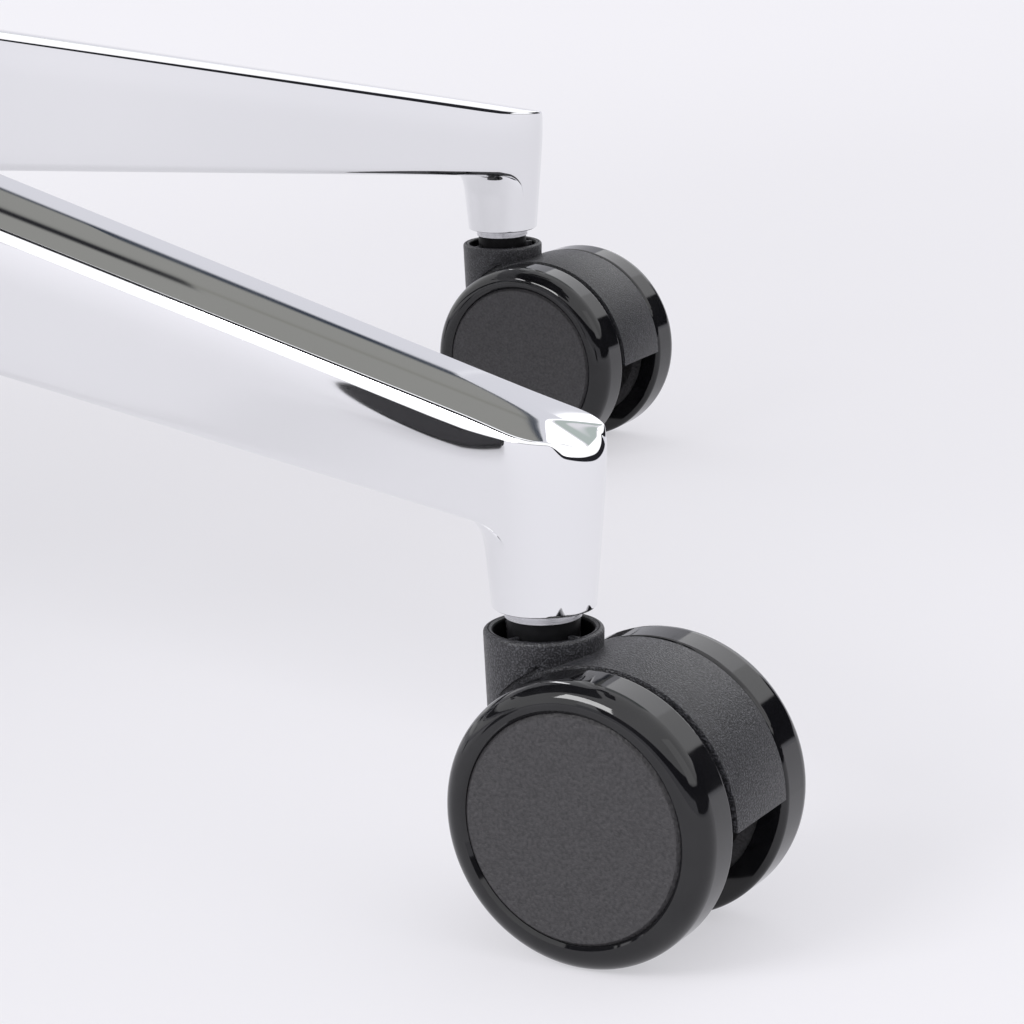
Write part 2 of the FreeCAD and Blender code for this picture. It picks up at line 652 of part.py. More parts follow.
def base_leg():
    """One pressed steel leg along +X: crowned top, leaning sides, and the sleeve that takes the caster."""
    hub_r = "(hub_d / 2)"
    run = f"(leg_reach - {hub_r})"
    start = f"({hub_r} - leg_hub_width / 2)"
    tip = "(leg_reach + sleeve_top_d / 2)"
    slope = f"(leg_rise / {run})"
    floor_slope = f"(({LEG_HUB_FLOOR} - {LEG_END_FLOOR}) / {run})"
    flare = f"((leg_hub_width - leg_end_width) / 2 / {run})"
    lean_in = "((sleeve_top_d - sleeve_foot_d) / 2 / sleeve_length)"

    def section(body, along, inset, trim):
        inward = f"(leg_reach - ({along}))"
        half = f"(leg_end_width / 2 + {flare} * {inward} - {inset})"
        top = f"({LEG_END_TOP} + {slope} * {inward} - {inset})"
        floor = f"({LEG_END_FLOOR} + {floor_slope} * {inward} + {inset})"
        low = f"({half} - {lean_in} * ({top} - {floor}))"
        crown_round = f"{CROWN_SHARE} * {half} * {half} / leg_crown"
        corners = ((f"-{low}", floor, f"leg_floor_round - {trim}"), (low, floor, f"leg_floor_round - {trim}"),
                   (half, top, f"leg_round - {trim}"), (0, f"{top} + leg_crown", crown_round),
                   (f"-{half}", top, f"leg_round - {trim}"))
        return outline(body, "YZ_Plane", corners, along)

    def beam(name, first, last, inset, trim):
        body = new_body(name)
        feature = body.newObject("PartDesign::AdditiveLoft", name + "_loft")
        feature.Profile = section(body, first, inset, trim)
        feature.Sections = [section(body, last, inset, trim)]
        feature.Ruled = True
        return body

    skin = beam("leg_skin", start, "leg_reach", "0", "0")
    cavity_end = "leg_reach - sleeve_top_d / 2 - leg_wall"
    cavity = beam("leg_cavity", f"{start} - leg_wall", cavity_end, "leg_wall", "0.6 * leg_floor_round")
    sleeve_r = "(sleeve_foot_d / 2)"
    seat = ("leg_reach", 0, SLEEVE_FOOT)
    waist = "(sleeve_length - leg_end_depth / 2)"
    sleeve = cone("leg_sleeve", sleeve_r, f"{sleeve_r} + {lean_in} * {waist}", waist, seat)
    tall = "(sleeve_length + leg_end_width)"
    end_round = cone("leg_end_round", sleeve_r, f"{sleeve_r} + {lean_in} * {tall}", tall, seat)
    end = common("leg_end", [end_round, beam("leg_end_skin", "leg_reach - leg_wall", tip, "0", "0")])
    foot = f"({LEG_END_FLOOR} + {floor_slope} * leg_end_width)"
    gusset_start = f"leg_reach - {sleeve_r} - 2 * gusset"
    gusset = plate("leg_gusset", "XZ_Plane", (
        (gusset_start, foot),
        (f"leg_reach - {sleeve_r} - gusset / 2", f"{LEG_END_FLOOR} - gusset"),
        ("leg_reach", f"{LEG_END_FLOOR} - gusset"),
        ("leg_reach", f"{foot} + leg_wall"),
        (gusset_start, f"{foot} + leg_wall")), "sleeve_foot_d - 2 * leg_floor_round")
    closed = fuse("leg_closed", [skin, end, sleeve, gusset])
    hub = cylinder("leg_hub_end", hub_r, f"2 * {HUB_TOP}", (0, 0, 0))
    socket = cylinder("leg_socket_bore", "socket_d / 2", "socket_length", seat)
    facet = box("leg_cap_facet", (0, 0, 0), ("2 * leg_end_width", "2 * leg_end_width", "leg_end_width"))
    place(facet, "leg_reach", "-leg_end_width", f"{LEG_END_TOP} + leg_crown", axis=(0, 1, 0),
          angle=f"atan({slope}) + cap_fall * 1deg")
    return cut("leg", closed, [cavity, hub, socket, facet])


def base_hub():
    inner_foot = "(column_d / 2 - column_taper)"
    body = turned("base_hub", (
        (inner_foot, HUB_FOOT),
        ("hub_d / 2", HUB_FOOT, "hub_round"),
        ("hub_d / 2", HUB_TOP, "hub_round"),
        ("column_d / 2", HUB_TOP)))
    return node(body, "base_hub")


def stem():
    groove_top = f"({STEM_TOP} - grip_ring_drop)"
    groove_foot = f"({groove_top} - grip_ring_width)"
    groove_r = "(stem_d / 2 - grip_ring_depth)"
    body = turned("stem", (
        (0, PIVOT_FOOT),
        (PIVOT_R, PIVOT_FOOT),
        (PIVOT_R, COLLAR_FOOT),
        ("stem_collar_d / 2", COLLAR_FOOT),
        ("stem_collar_d / 2", SLEEVE_FOOT),
        ("stem_d / 2", SLEEVE_FOOT),
        ("stem_d / 2", groove_foot),
        (groove_r, groove_foot),
        (groove_r, groove_top),
        ("stem_d / 2", groove_top),
        ("stem_d / 2", STEM_TOP),
        (0, STEM_TOP)))
    ring = turned("grip_ring", tube_section(groove_r, "stem_d / 2", groove_foot, groove_top))
    return body, ring


def socket():
    return turned("socket", tube_section("stem_d / 2", "socket_d / 2", SLEEVE_FOOT,
                                         f"{SLEEVE_FOOT} + socket_length"))


def base():
    base_hub()
    round_the_legs("base_legs", base_leg(), "0 * leg_reach")
    stem_body, ring = stem()
    round_the_legs("stem_sockets", socket())
    round_the_legs("caster_stems", stem_body)
    round_the_legs("stem_grip_rings", ring)


# Gas lift


def column():
    taper_r = "(column_d / 2 - column_taper)"
    bore_r = "(column_d / 2 - column_wall)"
    hole_r = "(rod_d / 2 + running_fit)"
    plate_top = f"({COLUMN_FOOT} + column_floor)"
    node(turned("column_tube", (
        (hole_r, COLUMN_FOOT),
        (taper_r, COLUMN_FOOT),
        (taper_r, HUB_FOOT),
        ("column_d / 2", HUB_TOP),
        ("column_d / 2", COLUMN_TOP),
        (bore_r, COLUMN_TOP),
        (bore_r, plate_top),
        (hole_r, plate_top))), "column_tube")
    slide_r = "(cylinder_d / 2 + running_fit)"
    node(turned("column_guide_bush", (
        (slide_r, f"{COLUMN_TOP} - bush_length"),
        (bore_r, f"{COLUMN_TOP} - bush_length"),
        (bore_r, COLUMN_TOP),
        ("column_d / 2", COLUMN_TOP),
        ("column_d / 2", BUSH_TOP),
        (slide_r, BUSH_TOP))), "column_guide_bush")
    groove_r = "(rod_d / 2 - clip_groove)"
    clip_foot = f"({COLUMN_FOOT} - clip_thickness)"
    node(turned("piston_rod", (
        (0, f"{COLUMN_FOOT} - rod_tail"),
        ("rod_d / 2", f"{COLUMN_FOOT} - rod_tail"),
        ("rod_d / 2", clip_foot),
        (groove_r, clip_foot),
        (groove_r, COLUMN_FOOT),
        ("rod_d / 2", COLUMN_FOOT),
        ("rod_d / 2", BEARING_TOP),
        ("rod_collar_d / 2", BEARING_TOP),
        ("rod_collar_d / 2", f"{BEARING_TOP} + rod_collar_height"),
        ("rod_d / 2", f"{BEARING_TOP} + rod_collar_height"),
        ("rod_d / 2", f"{PISTON_TOP} - piston_length"),
        ("cylinder_bore_d / 2 - running_fit", f"{PISTON_TOP} - piston_length"),
        ("cylinder_bore_d / 2 - running_fit", PISTON_TOP),
        (0, PISTON_TOP))), "piston_rod")
    node(turned("thrust_bearing", tube_section(hole_r, "bearing_d / 2", plate_top, BEARING_TOP)),
         "thrust_bearing")
    node(turned("column_clip", tube_section(groove_r, "clip_d / 2", clip_foot, COLUMN_FOOT)), "column_clip")
    inner_top = f"({CYLINDER_TOP} - cylinder_cap)"
    inner_foot = f"({CYLINDER_FOOT} + cylinder_gland)"
    node(turned("gas_cylinder", (
        (hole_r, CYLINDER_FOOT),
        ("cylinder_d / 2", CYLINDER_FOOT),
        ("cylinder_d / 2", HOUSING_FOOT),
        ("cylinder_d / 2 - taper_loss", CYLINDER_TOP),
        (0, CYLINDER_TOP),
        (0, inner_top),
        ("cylinder_bore_d / 2", inner_top),
        ("cylinder_bore_d / 2", inner_foot),
        (hole_r, inner_foot))), "gas_cylinder")


# Tilt mechanism, levers and knob


def mechanism_housing():
    """Cast housing, open below, with the boss that takes the gas cylinder."""
    def pan(name, inset, rounding):
        half = f"({SIDE_WALL} - {inset})"
        front, rear = f"(-housing_front + {inset})", f"(housing_rear - {inset})"
        return plate(name, "XY_Plane", ((f"-{half}", front, rounding), (half, front, rounding),
                                        (half, rear, rounding), (f"-{half}", rear, rounding)),
                     "housing_height", f"{HOUSING_FOOT} + housing_height / 2")

    outer = pan("housing_outer", "0", "housing_round")
    inner = pan("housing_inner", "housing_wall", "housing_round - housing_wall")
    hollow = place(link("housing_hollow", inner), 0, 0, "-housing_wall")
    cavity = cut("housing_cavity", hollow, [cylinder(
        "housing_boss", "housing_boss_d / 2", f"{HOUSING_TOP}", (0, 0, 0))])
    taper = cone("housing_taper", "cylinder_d / 2", "cylinder_d / 2 - taper_loss", "taper_length",
                 (0, 0, HOUSING_FOOT))
    lever_bore = "lever_d / 2 + running_fit"
    bores = [cylinder(f"housing_{name}_bore", lever_bore, f"{SIDE_WALL} / 2 + lever_inside",
                      (f"-1.5 * {SIDE_WALL}", y, LEVER_Z), "x")
             for name, y in (("height_lever", "height_lever_y"), ("tilt_lever", "tilt_lever_y"))]
    knob_bore = cylinder("housing_knob_bore", "knob_shaft_d / 2 + running_fit", "3 * housing_wall",
                         (0, "-housing_front - housing_wall", KNOB_Z), "y")
    pin_bore = cylinder("housing_pin_bore", "tilt_pin_d / 2", "2 * housing_width",
                        ("-housing_width", TILT_PIN_Y, TILT_PIN_Z), "x")
    bolt_bores = seat_bolt_shanks("housing_bolt_bore")
    return node(cut("mechanism_housing", outer, [cavity, taper, knob_bore, pin_bore] + bores + bolt_bores),
                "mechanism_housing")


def seat_bolt_places():
    return [(f"{side} * seat_bolt_x", y) for side in (1, -1) for y in ("-seat_bolt_front", "seat_bolt_rear")]


def seat_bolt_shanks(name):
    foot = f"({HOUSING_TOP} - housing_wall)"
    return [cylinder(f"{name}_{i}", "seat_bolt_d / 2", "housing_wall + seat_bolt_grip", (x, y, foot))
            for i, (x, y) in enumerate(seat_bolt_places())]


def seat_bolts():
    bolts = []
    for i, shank in enumerate(seat_bolt_shanks("seat_bolt_shank")):
        x, y = seat_bolt_places()[i]
        head = cylinder(f"seat_bolt_head_{i}", "seat_bolt_head_d / 2", "seat_bolt_head",
                        (x, y, f"{HOUSING_TOP} - housing_wall - seat_bolt_head"))
        bolts.append(fuse(f"seat_bolt_{i}", [shank, head]))
    group("seat_bolts", bolts)


def tilt_pin_and_springs():
    node(cylinder("tilt_pin", "tilt_pin_d / 2", f"2 * {YOKE_OUT}",
                  (f"-{YOKE_OUT}", TILT_PIN_Y, TILT_PIN_Z), "x"), "tilt_pin")
    springs = []
    for name, side in SIDES:
        seat = f"({SIDE_WALL} - housing_round)"
        start = f"({seat} - spring_length)" if side > 0 else f"-{seat}"
        at = (start, TILT_PIN_Y, TILT_PIN_Z)
        tube = cylinder(f"spring_tube_{name}", "spring_d / 2", "spring_length", at, "x")
        core = cylinder(f"spring_core_{name}", "tilt_pin_d / 2", "spring_length", at, "x")
        springs.append(cut(f"spring_{name}", tube, [core]))
    group("tilt_springs", springs)


def lever(label, y, way):
    """A cranked rod that turns about its own axis, with a flat paddle ahead (-1) or behind (1)."""
    inner = f"(lever_inside - {SIDE_WALL})"
    rod_r = "(lever_d / 2)"
    rod = cylinder(f"{label}_rod", rod_r, f"{inner} + lever_reach", ("-lever_reach", y, LEVER_Z), "x")
    elbow = doc.addObject("Part::Sphere", f"{label}_elbow")
    bind(elbow, Radius=rod_r)
    place(elbow, "-lever_reach", y, LEVER_Z)
    grip_y = f"({y} + {way} * lever_throw)"
    crank_start = grip_y if way < 0 else y
    crank = cylinder(f"{label}_crank", rod_r, "lever_throw", ("-lever_reach", crank_start, LEVER_Z), "y")
    half_grip = "lever_grip_width / 2"
    grip_ends = f"{grip_y} - lever_grip_length / 2", f"{grip_y} + lever_grip_length / 2"
    grip_round = "lever_grip_width / 3"
    paddle = plate(f"{label}_paddle", "XY_Plane", (
        (f"-lever_reach - {half_grip}", grip_ends[0], grip_round),
        (f"-lever_reach + {half_grip}", grip_ends[0], grip_round),
        (f"-lever_reach + {half_grip}", grip_ends[1], grip_round),
        (f"-lever_reach - {half_grip}", grip_ends[1], grip_round)),
        "lever_grip_depth", LEVER_Z)
    node(fuse(label, [rod, elbow, crank, paddle]), label)


def tension_knob():
    front = "(-housing_front - knob_gap - knob_length)"
    body = cylinder("knob_body", "knob_d / 2", "knob_length", (0, front, KNOB_Z), "y")
    shaft = cylinder("knob_shaft", "knob_shaft_d / 2", "knob_length / 2 + knob_gap + knob_shaft_inside",
                     (0, f"{front} + knob_length / 2", KNOB_Z), "y")
    flutes = []
    for index in range(KNOB_FLUTES):
        angle = index * 360 / KNOB_FLUTES
        x = f"knob_d / 2 * {FLUTE_SHARE} * cos({angle})"
        z = f"{KNOB_Z} + knob_d / 2 * {FLUTE_SHARE} * sin({angle})"
        flutes.append(cylinder(f"knob_flute_{index}", "knob_flute_d / 2", "2 * knob_length",
                               (x, f"{front} - knob_length / 2", z), "y"))
    node(fuse("tension_knob", [cut("knob_fluted", body, flutes), shaft]), "tension_knob")


# Seat and armrests


def seat_pan():
    half = "(pan_width / 2)"
    front = "(-seat_forward - pan_depth / 2)"
    rear = "(-seat_forward + pan_depth / 2)"
    pan = plate("pan_board", "XY_Plane", (
        (f"-{half}", front, "pan_round"), (half, front, "pan_round"),
        (half, rear, "pan_round"), (f"-{half}", rear, "pan_round")),
        "pan_thickness", f"{HOUSING_TOP} + pan_thickness / 2")
    foot = size(HOUSING_TOP)
    rounded_edges(pan, "pan_edge_round", "pan_edge", lambda edge: edge.BoundBox.ZMax < foot + 0.01)
    bores = seat_bolt_shanks("pan_seat_bore") + [shank for name, side in SIDES for shank in arm_bolt_shanks(
        f"pan_arm_bore_{name}", side)]
    node(cut("seat_pan", pan, bores), "seat_pan")


def seat_cushion():
    front = -size("seat_forward") - size("cushion_depth") / 2
    length, height = size("cushion_depth"), size("cushion_height")
    base = size(PAN_TOP)
    front_fall, rear_fall = size("cushion_front_fall"), size("cushion_rear_fall")

    def height_at(along):
        roll = swell(along + 0.1 * front_fall, 1.1 * front_fall)
        return height * (0.3 + 0.7 * min(roll, swell(length - along + 0.1 * rear_fall, 1.1 * rear_fall)))

    shape = pillow(length, size("cushion_corner"), lambda along: size("cushion_width") / 2, height_at,
                   size("cushion_tuck"), 2 * size("cushion_tuck"),
                   lambda along, u, v: V(u, front + along, base + v))
    node(solid("seat_cushion", shape), "seat_cushion")


def arm_bolt_places(side):
    x = f"{side} * (arm_foot_inner + arm_bolt_inset)"
    return [(x, f"arm_y + {way} * arm_bolt_pitch / 2") for way in (1, -1)]


def arm_bolt_shanks(name, side):
    foot = f"{HOUSING_TOP} - arm_plate"
    return [cylinder(f"{name}_{i}", "arm_bolt_d / 2", "arm_plate + arm_bolt_grip", (x, y, foot))
            for i, (x, y) in enumerate(arm_bolt_places(side))]


def arm_bracket(name, side):
    """An angle that runs out under the pan and turns up into the sleeve of the post."""
    foot = f"({HOUSING_TOP} - arm_plate)"
    profile = plate(f"arm_angle_{name}", "XZ_Plane", (
        (f"{side} * arm_foot_inner", foot),
        (f"{side} * {ARM_OUTER}", foot, "arm_bend"),
        (f"{side} * {ARM_OUTER}", ARM_SLEEVE_TOP),
        (f"{side} * {ARM_INNER}", ARM_SLEEVE_TOP),
        (f"{side} * {ARM_INNER}", HOUSING_TOP, "arm_bend - arm_sleeve_depth / 2"),
        (f"{side} * arm_foot_inner", HOUSING_TOP)), "arm_sleeve_width")
    angle = place(link(f"arm_angle_{name}_placed", profile), 0, "arm_y", 0)
    half_x, half_y = "(post_depth / 2 + post_fit)", "(post_width / 2 + post_fit)"
    middle = f"{side} * {ARM_MIDDLE}"
    well_foot = f"{ARM_SLEEVE_TOP} - post_inside - post_fit"
    well = box(f"arm_well_{name}", (f"{middle} - {half_x}", f"arm_y - {half_y}", well_foot),
               (f"{middle} + {half_x}", f"arm_y + {half_y}", f"{ARM_SLEEVE_TOP} + post_fit"))
    node(cut(f"arm_bracket_{name}", angle, [well] + arm_bolt_shanks(f"arm_bracket_bore_{name}", side)),
         f"arm_bracket_{name}")


def arm_bolts():
    bolts = []
    for name, side in SIDES:
        for i, shank in enumerate(arm_bolt_shanks(f"arm_bolt_shank_{name}", side)):
            x, y = arm_bolt_places(side)[i]
            head = cylinder(f"arm_bolt_head_{name}_{i}", "arm_bolt_head_d / 2", "arm_bolt_head",
                            (x, y, f"{HOUSING_TOP} - arm_plate - arm_bolt_head"))
            bolts.append(fuse(f"arm_bolt_{name}_{i}", [shank, head]))
    group("arm_bolts", bolts)


def arm_post_and_pad(name, side):
    middle = f"{side} * {ARM_MIDDLE}"
    post_foot = f"{ARM_SLEEVE_TOP} - post_inside"
    post = box(f"arm_post_{name}", (f"{middle} - post_depth / 2", "arm_y - post_width / 2", post_foot),
               (f"{middle} + post_depth / 2", "arm_y + post_width / 2", POST_TOP))
    node(post, f"arm_post_{name}")
    length, height = size("pad_length"), size("pad_height")
    rear = size("arm_y") - size("pad_forward") - length / 2
    base = size(POST_TOP)
    fall = size("pad_corner")

    def height_at(along):
        return height * (0.55 + 0.45 * swell(min(along, length - along) + 0.1 * fall, 1.1 * fall))

    tuck = size("pad_tuck")
    shape = pillow(length, fall, lambda along: size("pad_width") / 2, height_at, tuck, 2 * tuck,
                   lambda along, u, v: V(size(middle) + u, rear + along, base + v))
    node(solid(f"arm_pad_{name}", shape), f"arm_pad_{name}")


# Backrest, in its own upright frame: +Z along the spine, the spine's middle at Y = 0


def lean(obj):
    """Set a backrest piece on its leaning spine."""
    return place(obj, 0, "back_setback", BACK_FOOT, axis=(1, 0, 0), angle="-back_tilt")


def back_spine():
    half = "(spine_thickness / 2)"
    rise = f"({TILT_PIN_Z} - {BACK_FOOT})"
    inner_y = f"back_setback + ({rise} + {half}) * tan(back_tilt) - {half} / cos(back_tilt)"
    outer_y = f"back_setback + ({rise} - {half}) * tan(back_tilt) + {half} / cos(back_tilt)"
    top_y = "back_setback + spine_length * sin(back_tilt)"
    top_z = f"{BACK_FOOT} + spine_length * cos(back_tilt)"
    start = BRIDGE_FRONT
    bar = plate("spine_bar", "YZ_Plane", (
        (start, f"{TILT_PIN_Z} - {half}"),
        (outer_y, f"{TILT_PIN_Z} - {half}", "spine_bend + spine_thickness"),
        (f"{top_y} + {half} * cos(back_tilt)", f"{top_z} - {half} * sin(back_tilt)"),
        (f"{top_y} - {half} * cos(back_tilt)", f"{top_z} + {half} * sin(back_tilt)"),
        (inner_y, f"{TILT_PIN_Z} + {half}", "spine_bend"),
        (start, f"{TILT_PIN_Z} + {half}")), "spine_width")
    bridge = box("spine_bridge", (f"-{YOKE_OUT}", start, f"{TILT_PIN_Z} - {half}"),
                 (YOKE_OUT, f"{start} + bridge_depth", f"{TILT_PIN_Z} + {half}"))
    pieces = [bar, bridge]
    for name, side in SIDES:
        low = YOKE_IN if side > 0 else f"-{YOKE_OUT}"
        high = YOKE_OUT if side > 0 else f"-{YOKE_IN}"
        pieces.append(box(f"yoke_arm_{name}", (low, TILT_PIN_Y, f"{TILT_PIN_Z} - {half}"),
                          (high, f"{start} + bridge_depth", f"{TILT_PIN_Z} + {half}")))
        eye_at = (low, TILT_PIN_Y, TILT_PIN_Z)
        pieces.append(cylinder(f"yoke_eye_{name}", "yoke_d / 2", "yoke_cheek", eye_at, "x"))
    bore = cylinder("yoke_bore", "tilt_pin_d / 2 + running_fit", f"4 * {YOKE_OUT}",
                    (f"-2 * {YOKE_OUT}", TILT_PIN_Y, TILT_PIN_Z), "x")
    node(cut("back_spine", fuse("spine_whole", pieces), [bore]), "back_spine")


def back_slab(name, front, rear, width):
    """The curved side profile of the backrest between two offsets behind its front face."""
    def edge(offset):
        return [(f"-shell_{place_name}_y - shell_wall + {offset}", at) for place_name, at in (
            ("foot", "0"), ("lumbar", "lumbar_at"), ("top", "shell_height"))]

    near, far = edge(front), edge(rear)
    corners = (near[0], (*near[1], "lumbar_bend"), near[2], far[2], (*far[1], "lumbar_bend"), far[0])
    return plate(name, "YZ_Plane", corners, width)


def back_shell():
    slab = back_slab("shell_slab", "0", "shell_wall", "2 * shell_wide")
    half = {key: f"({key} / 2)" for key in ("shell_foot_width", "shell_wide", "shell_top_width")}
    shield = plate("shell_shield", "XZ_Plane", (
        (f"-{half['shell_foot_width']}", "0", "shell_foot_round"),
        (half["shell_foot_width"], "0", "shell_foot_round"),
        (half["shell_wide"], "shell_wide_at", "shell_top_round"),
        (half["shell_top_width"], "shell_height", "shell_top_round"),
        (f"-{half['shell_top_width']}", "shell_height", "shell_top_round"),
        (f"-{half['shell_wide']}", "shell_wide_at", "shell_top_round")), "shell_wide")
    face = common("shell_face", [slab, shield])
    behind = back_slab("shell_behind", "shell_wall / 2", "shell_wide", "2 * shell_wide")
    guide_x = "(spine_width / 2 + guide_fit + guide_wall)"
    guide_y = "(spine_thickness / 2 + guide_fit + guide_wall)"
    block = box("guide_block", (f"-{guide_x}", "-shell_lumbar_y - shell_wall", "guide_foot"),
                (guide_x, guide_y, GUIDE_TOP))
    guide = common("shell_guide", [behind, block])
    boss_share = "(boss_at - lumbar_at) / (shell_height - lumbar_at)"
    rear_at = f"shell_lumbar_y + (shell_top_y - shell_lumbar_y) * {boss_share}"
    bosses, holes = [], []
    for name, side in SIDES:
        x = f"{side} * boss_pitch / 2"
        bosses.append(cylinder(f"shell_boss_{name}", "boss_d / 2", "boss_rise + shell_wall / 2",
                               (x, f"-({rear_at}) - shell_wall / 2", "boss_at"), "y"))
        holes.append(cylinder(f"shell_hole_{name}", "boss_hole_d / 2", "2 * boss_hole_depth",
                              (x, f"-({rear_at}) + boss_rise - boss_hole_depth", "boss_at"), "y"))
    slot_x, slot_y = "(spine_width / 2 + guide_fit)", "(spine_thickness / 2 + guide_fit)"
    slot = box("guide_slot", (f"-{slot_x}", f"-{slot_y}", "guide_foot - guide_wall"),
               (slot_x, slot_y, f"{GUIDE_TOP} - guide_wall"))
    whole = cut("shell_upright", fuse("shell_whole", [face, guide] + bosses), [slot] + holes)
    lean(node(link("back_shell", whole), "back_shell"))


def back_cushion():
    length = size("shell_height") - 2 * size("back_pad_inset")
    inset, height, fall = size("back_pad_inset"), size("back_pad_height"), size("back_pad_fall")
    wide_at, wide = size("shell_wide_at"), size("shell_wide")

    def half_at(along):
        at = along + inset
        end = size("shell_foot_width") if at < wide_at else size("shell_top_width")
        reach = wide_at if at < wide_at else size("shell_height") - wide_at
        share = 1 - (abs(at - wide_at) / reach) ** 2
        return (end + (wide - end) * share) / 2 - inset

    def front_face(at):
        lumbar_at, lumbar = size("lumbar_at"), size("shell_lumbar_y")
        end = size("shell_foot_y") if at < lumbar_at else size("shell_top_y")
        reach = lumbar_at if at < lumbar_at else size("shell_height") - lumbar_at
        bulge = 1 - (abs(at - lumbar_at) / reach) ** 1.5
        return -size("shell_wall") - end - (lumbar - end) * bulge

    def height_at(along):
        return height * (0.4 + 0.6 * swell(min(along, length - along) + 0.1 * fall, 1.1 * fall))

    sink, tuck = size("shell_wall"), size("back_pad_tuck")

    def at(along, u, v):
        return V(-u, front_face(along + inset) + sink - v, along + inset)

    shape = pillow(length, size("back_pad_corner"), half_at, lambda along: height_at(along) + sink,
                   tuck, 2 * tuck, at)
    rough = solid("back_cushion_rough", shape)
    rear = back_slab("back_cushion_rear", "-back_pad_gap", "shell_wide", "2 * shell_wide")
    lean(node(link("back_cushion", cut("back_cushion_upright", rough, [rear])), "back_cushion"))


base()
casters()
column()
mechanism_housing()
tilt_pin_and_springs()
lever("height_lever", "height_lever_y", -1)
lever("tilt_lever", "tilt_lever_y", 1)
tension_knob()
seat_pan()
seat_cushion()
seat_bolts()
for side_name, side_sign in SIDES:
    arm_bracket(side_name, side_sign)
    arm_post_and_pad(side_name, side_sign)
arm_bolts()
back_spine()
back_shell()
back_cushion()

doc.recompute()
broken = [item.Label for item in doc.Objects if {"Invalid", "Error"} & set(item.State)]
broken += [item.Label for item in nodes if item.Shape.isNull() or not item.Shape.isValid()]
if broken:
    raise SystemExit("not built: " + ", ".join(broken))
os.makedirs("parts", exist_ok=True)
for item in nodes:
    item.Shape.exportStep(f"parts/{item.Label}.step")
print(len(nodes), "sub-parts")
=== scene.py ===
import json
import math

import bmesh
import bpy
import numpy as np
from mathutils import Matrix, Vector
from mathutils.bvhtree import BVHTree


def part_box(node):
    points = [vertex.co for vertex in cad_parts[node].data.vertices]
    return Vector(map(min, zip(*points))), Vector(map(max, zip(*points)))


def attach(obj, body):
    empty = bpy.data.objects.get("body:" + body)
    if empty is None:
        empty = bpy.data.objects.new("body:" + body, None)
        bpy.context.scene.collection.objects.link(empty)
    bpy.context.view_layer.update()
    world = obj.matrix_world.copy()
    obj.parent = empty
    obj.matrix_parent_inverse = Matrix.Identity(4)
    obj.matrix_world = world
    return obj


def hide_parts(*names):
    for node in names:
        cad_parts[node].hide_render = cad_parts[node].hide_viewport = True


# Task chair on a chrome five-star base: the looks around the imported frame.
# Metres, +Z up, the column axis on Z and the floor at Z = 0. The sitter faces -Y.

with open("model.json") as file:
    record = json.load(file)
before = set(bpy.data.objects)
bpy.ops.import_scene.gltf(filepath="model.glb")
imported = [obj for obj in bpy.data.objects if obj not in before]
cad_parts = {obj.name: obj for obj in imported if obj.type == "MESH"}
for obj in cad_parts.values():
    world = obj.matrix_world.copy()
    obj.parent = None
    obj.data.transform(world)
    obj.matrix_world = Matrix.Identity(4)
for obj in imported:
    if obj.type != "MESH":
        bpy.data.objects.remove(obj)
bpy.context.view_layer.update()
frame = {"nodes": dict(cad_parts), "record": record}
NODES = frame["nodes"]
MM = 0.001
UP = Vector((0, 0, 1))
SLOT_OF = {row["node"]: row["material_slot"] for row in frame["record"]["subparts"]}
BODY_OF = {node: body for body, nodes in frame["record"]["behaviour"]["bodies"].items() for node in nodes}
LEG_ANGLES = [math.radians(-90 + 72 * leg) for leg in range(5)]


# Camera, floor, world and lamps


CAMERA_AT = Vector((0.4550, -0.6617, 0.22985))
CAMERA_HEADING = math.radians(107.077)
CAMERA_PITCH = math.radians(14.817)
CAMERA_ROLL = math.radians(1.3816)
CAMERA_LENS = 128.93
SENSOR_WIDTH = 36


def add_camera():
    level = math.cos(CAMERA_PITCH)
    ahead = Vector((level * math.cos(CAMERA_HEADING), level * math.sin(CAMERA_HEADING),
                    -math.sin(CAMERA_PITCH)))
    right = ahead.cross(UP).normalized()
    down = ahead.cross(right)
    across = math.cos(CAMERA_ROLL) * right + math.sin(CAMERA_ROLL) * down
    fall = math.cos(CAMERA_ROLL) * down - math.sin(CAMERA_ROLL) * right
    data = bpy.data.cameras.new("camera")
    data.lens, data.sensor_width = CAMERA_LENS, SENSOR_WIDTH
    camera = bpy.data.objects.new("camera", data)
    facing = Matrix((across, -fall, -ahead)).transposed().to_4x4()
    camera.matrix_world = Matrix.Translation(CAMERA_AT) @ facing
    bpy.context.scene.collection.objects.link(camera)
    bpy.context.scene.camera = camera


PALE = (0.850, 0.842, 0.880, 1)
WALL = (0.76, 0.76, 0.82, 1)
SLATE = (0.045, 0.055, 0.075, 1)
OLIVE = (0.298, 0.298, 0.284, 1)
SHADE = (0.25, 0.25, 0.23, 1)
DUSK = (0.02, 0.02, 0.024, 1)
SOFTBOX = (1.27, 1.27, 1.29, 1)
WINDOW = (1.6, 1.6, 1.64, 1)
MIST = (0.50, 0.56, 0.54, 1)

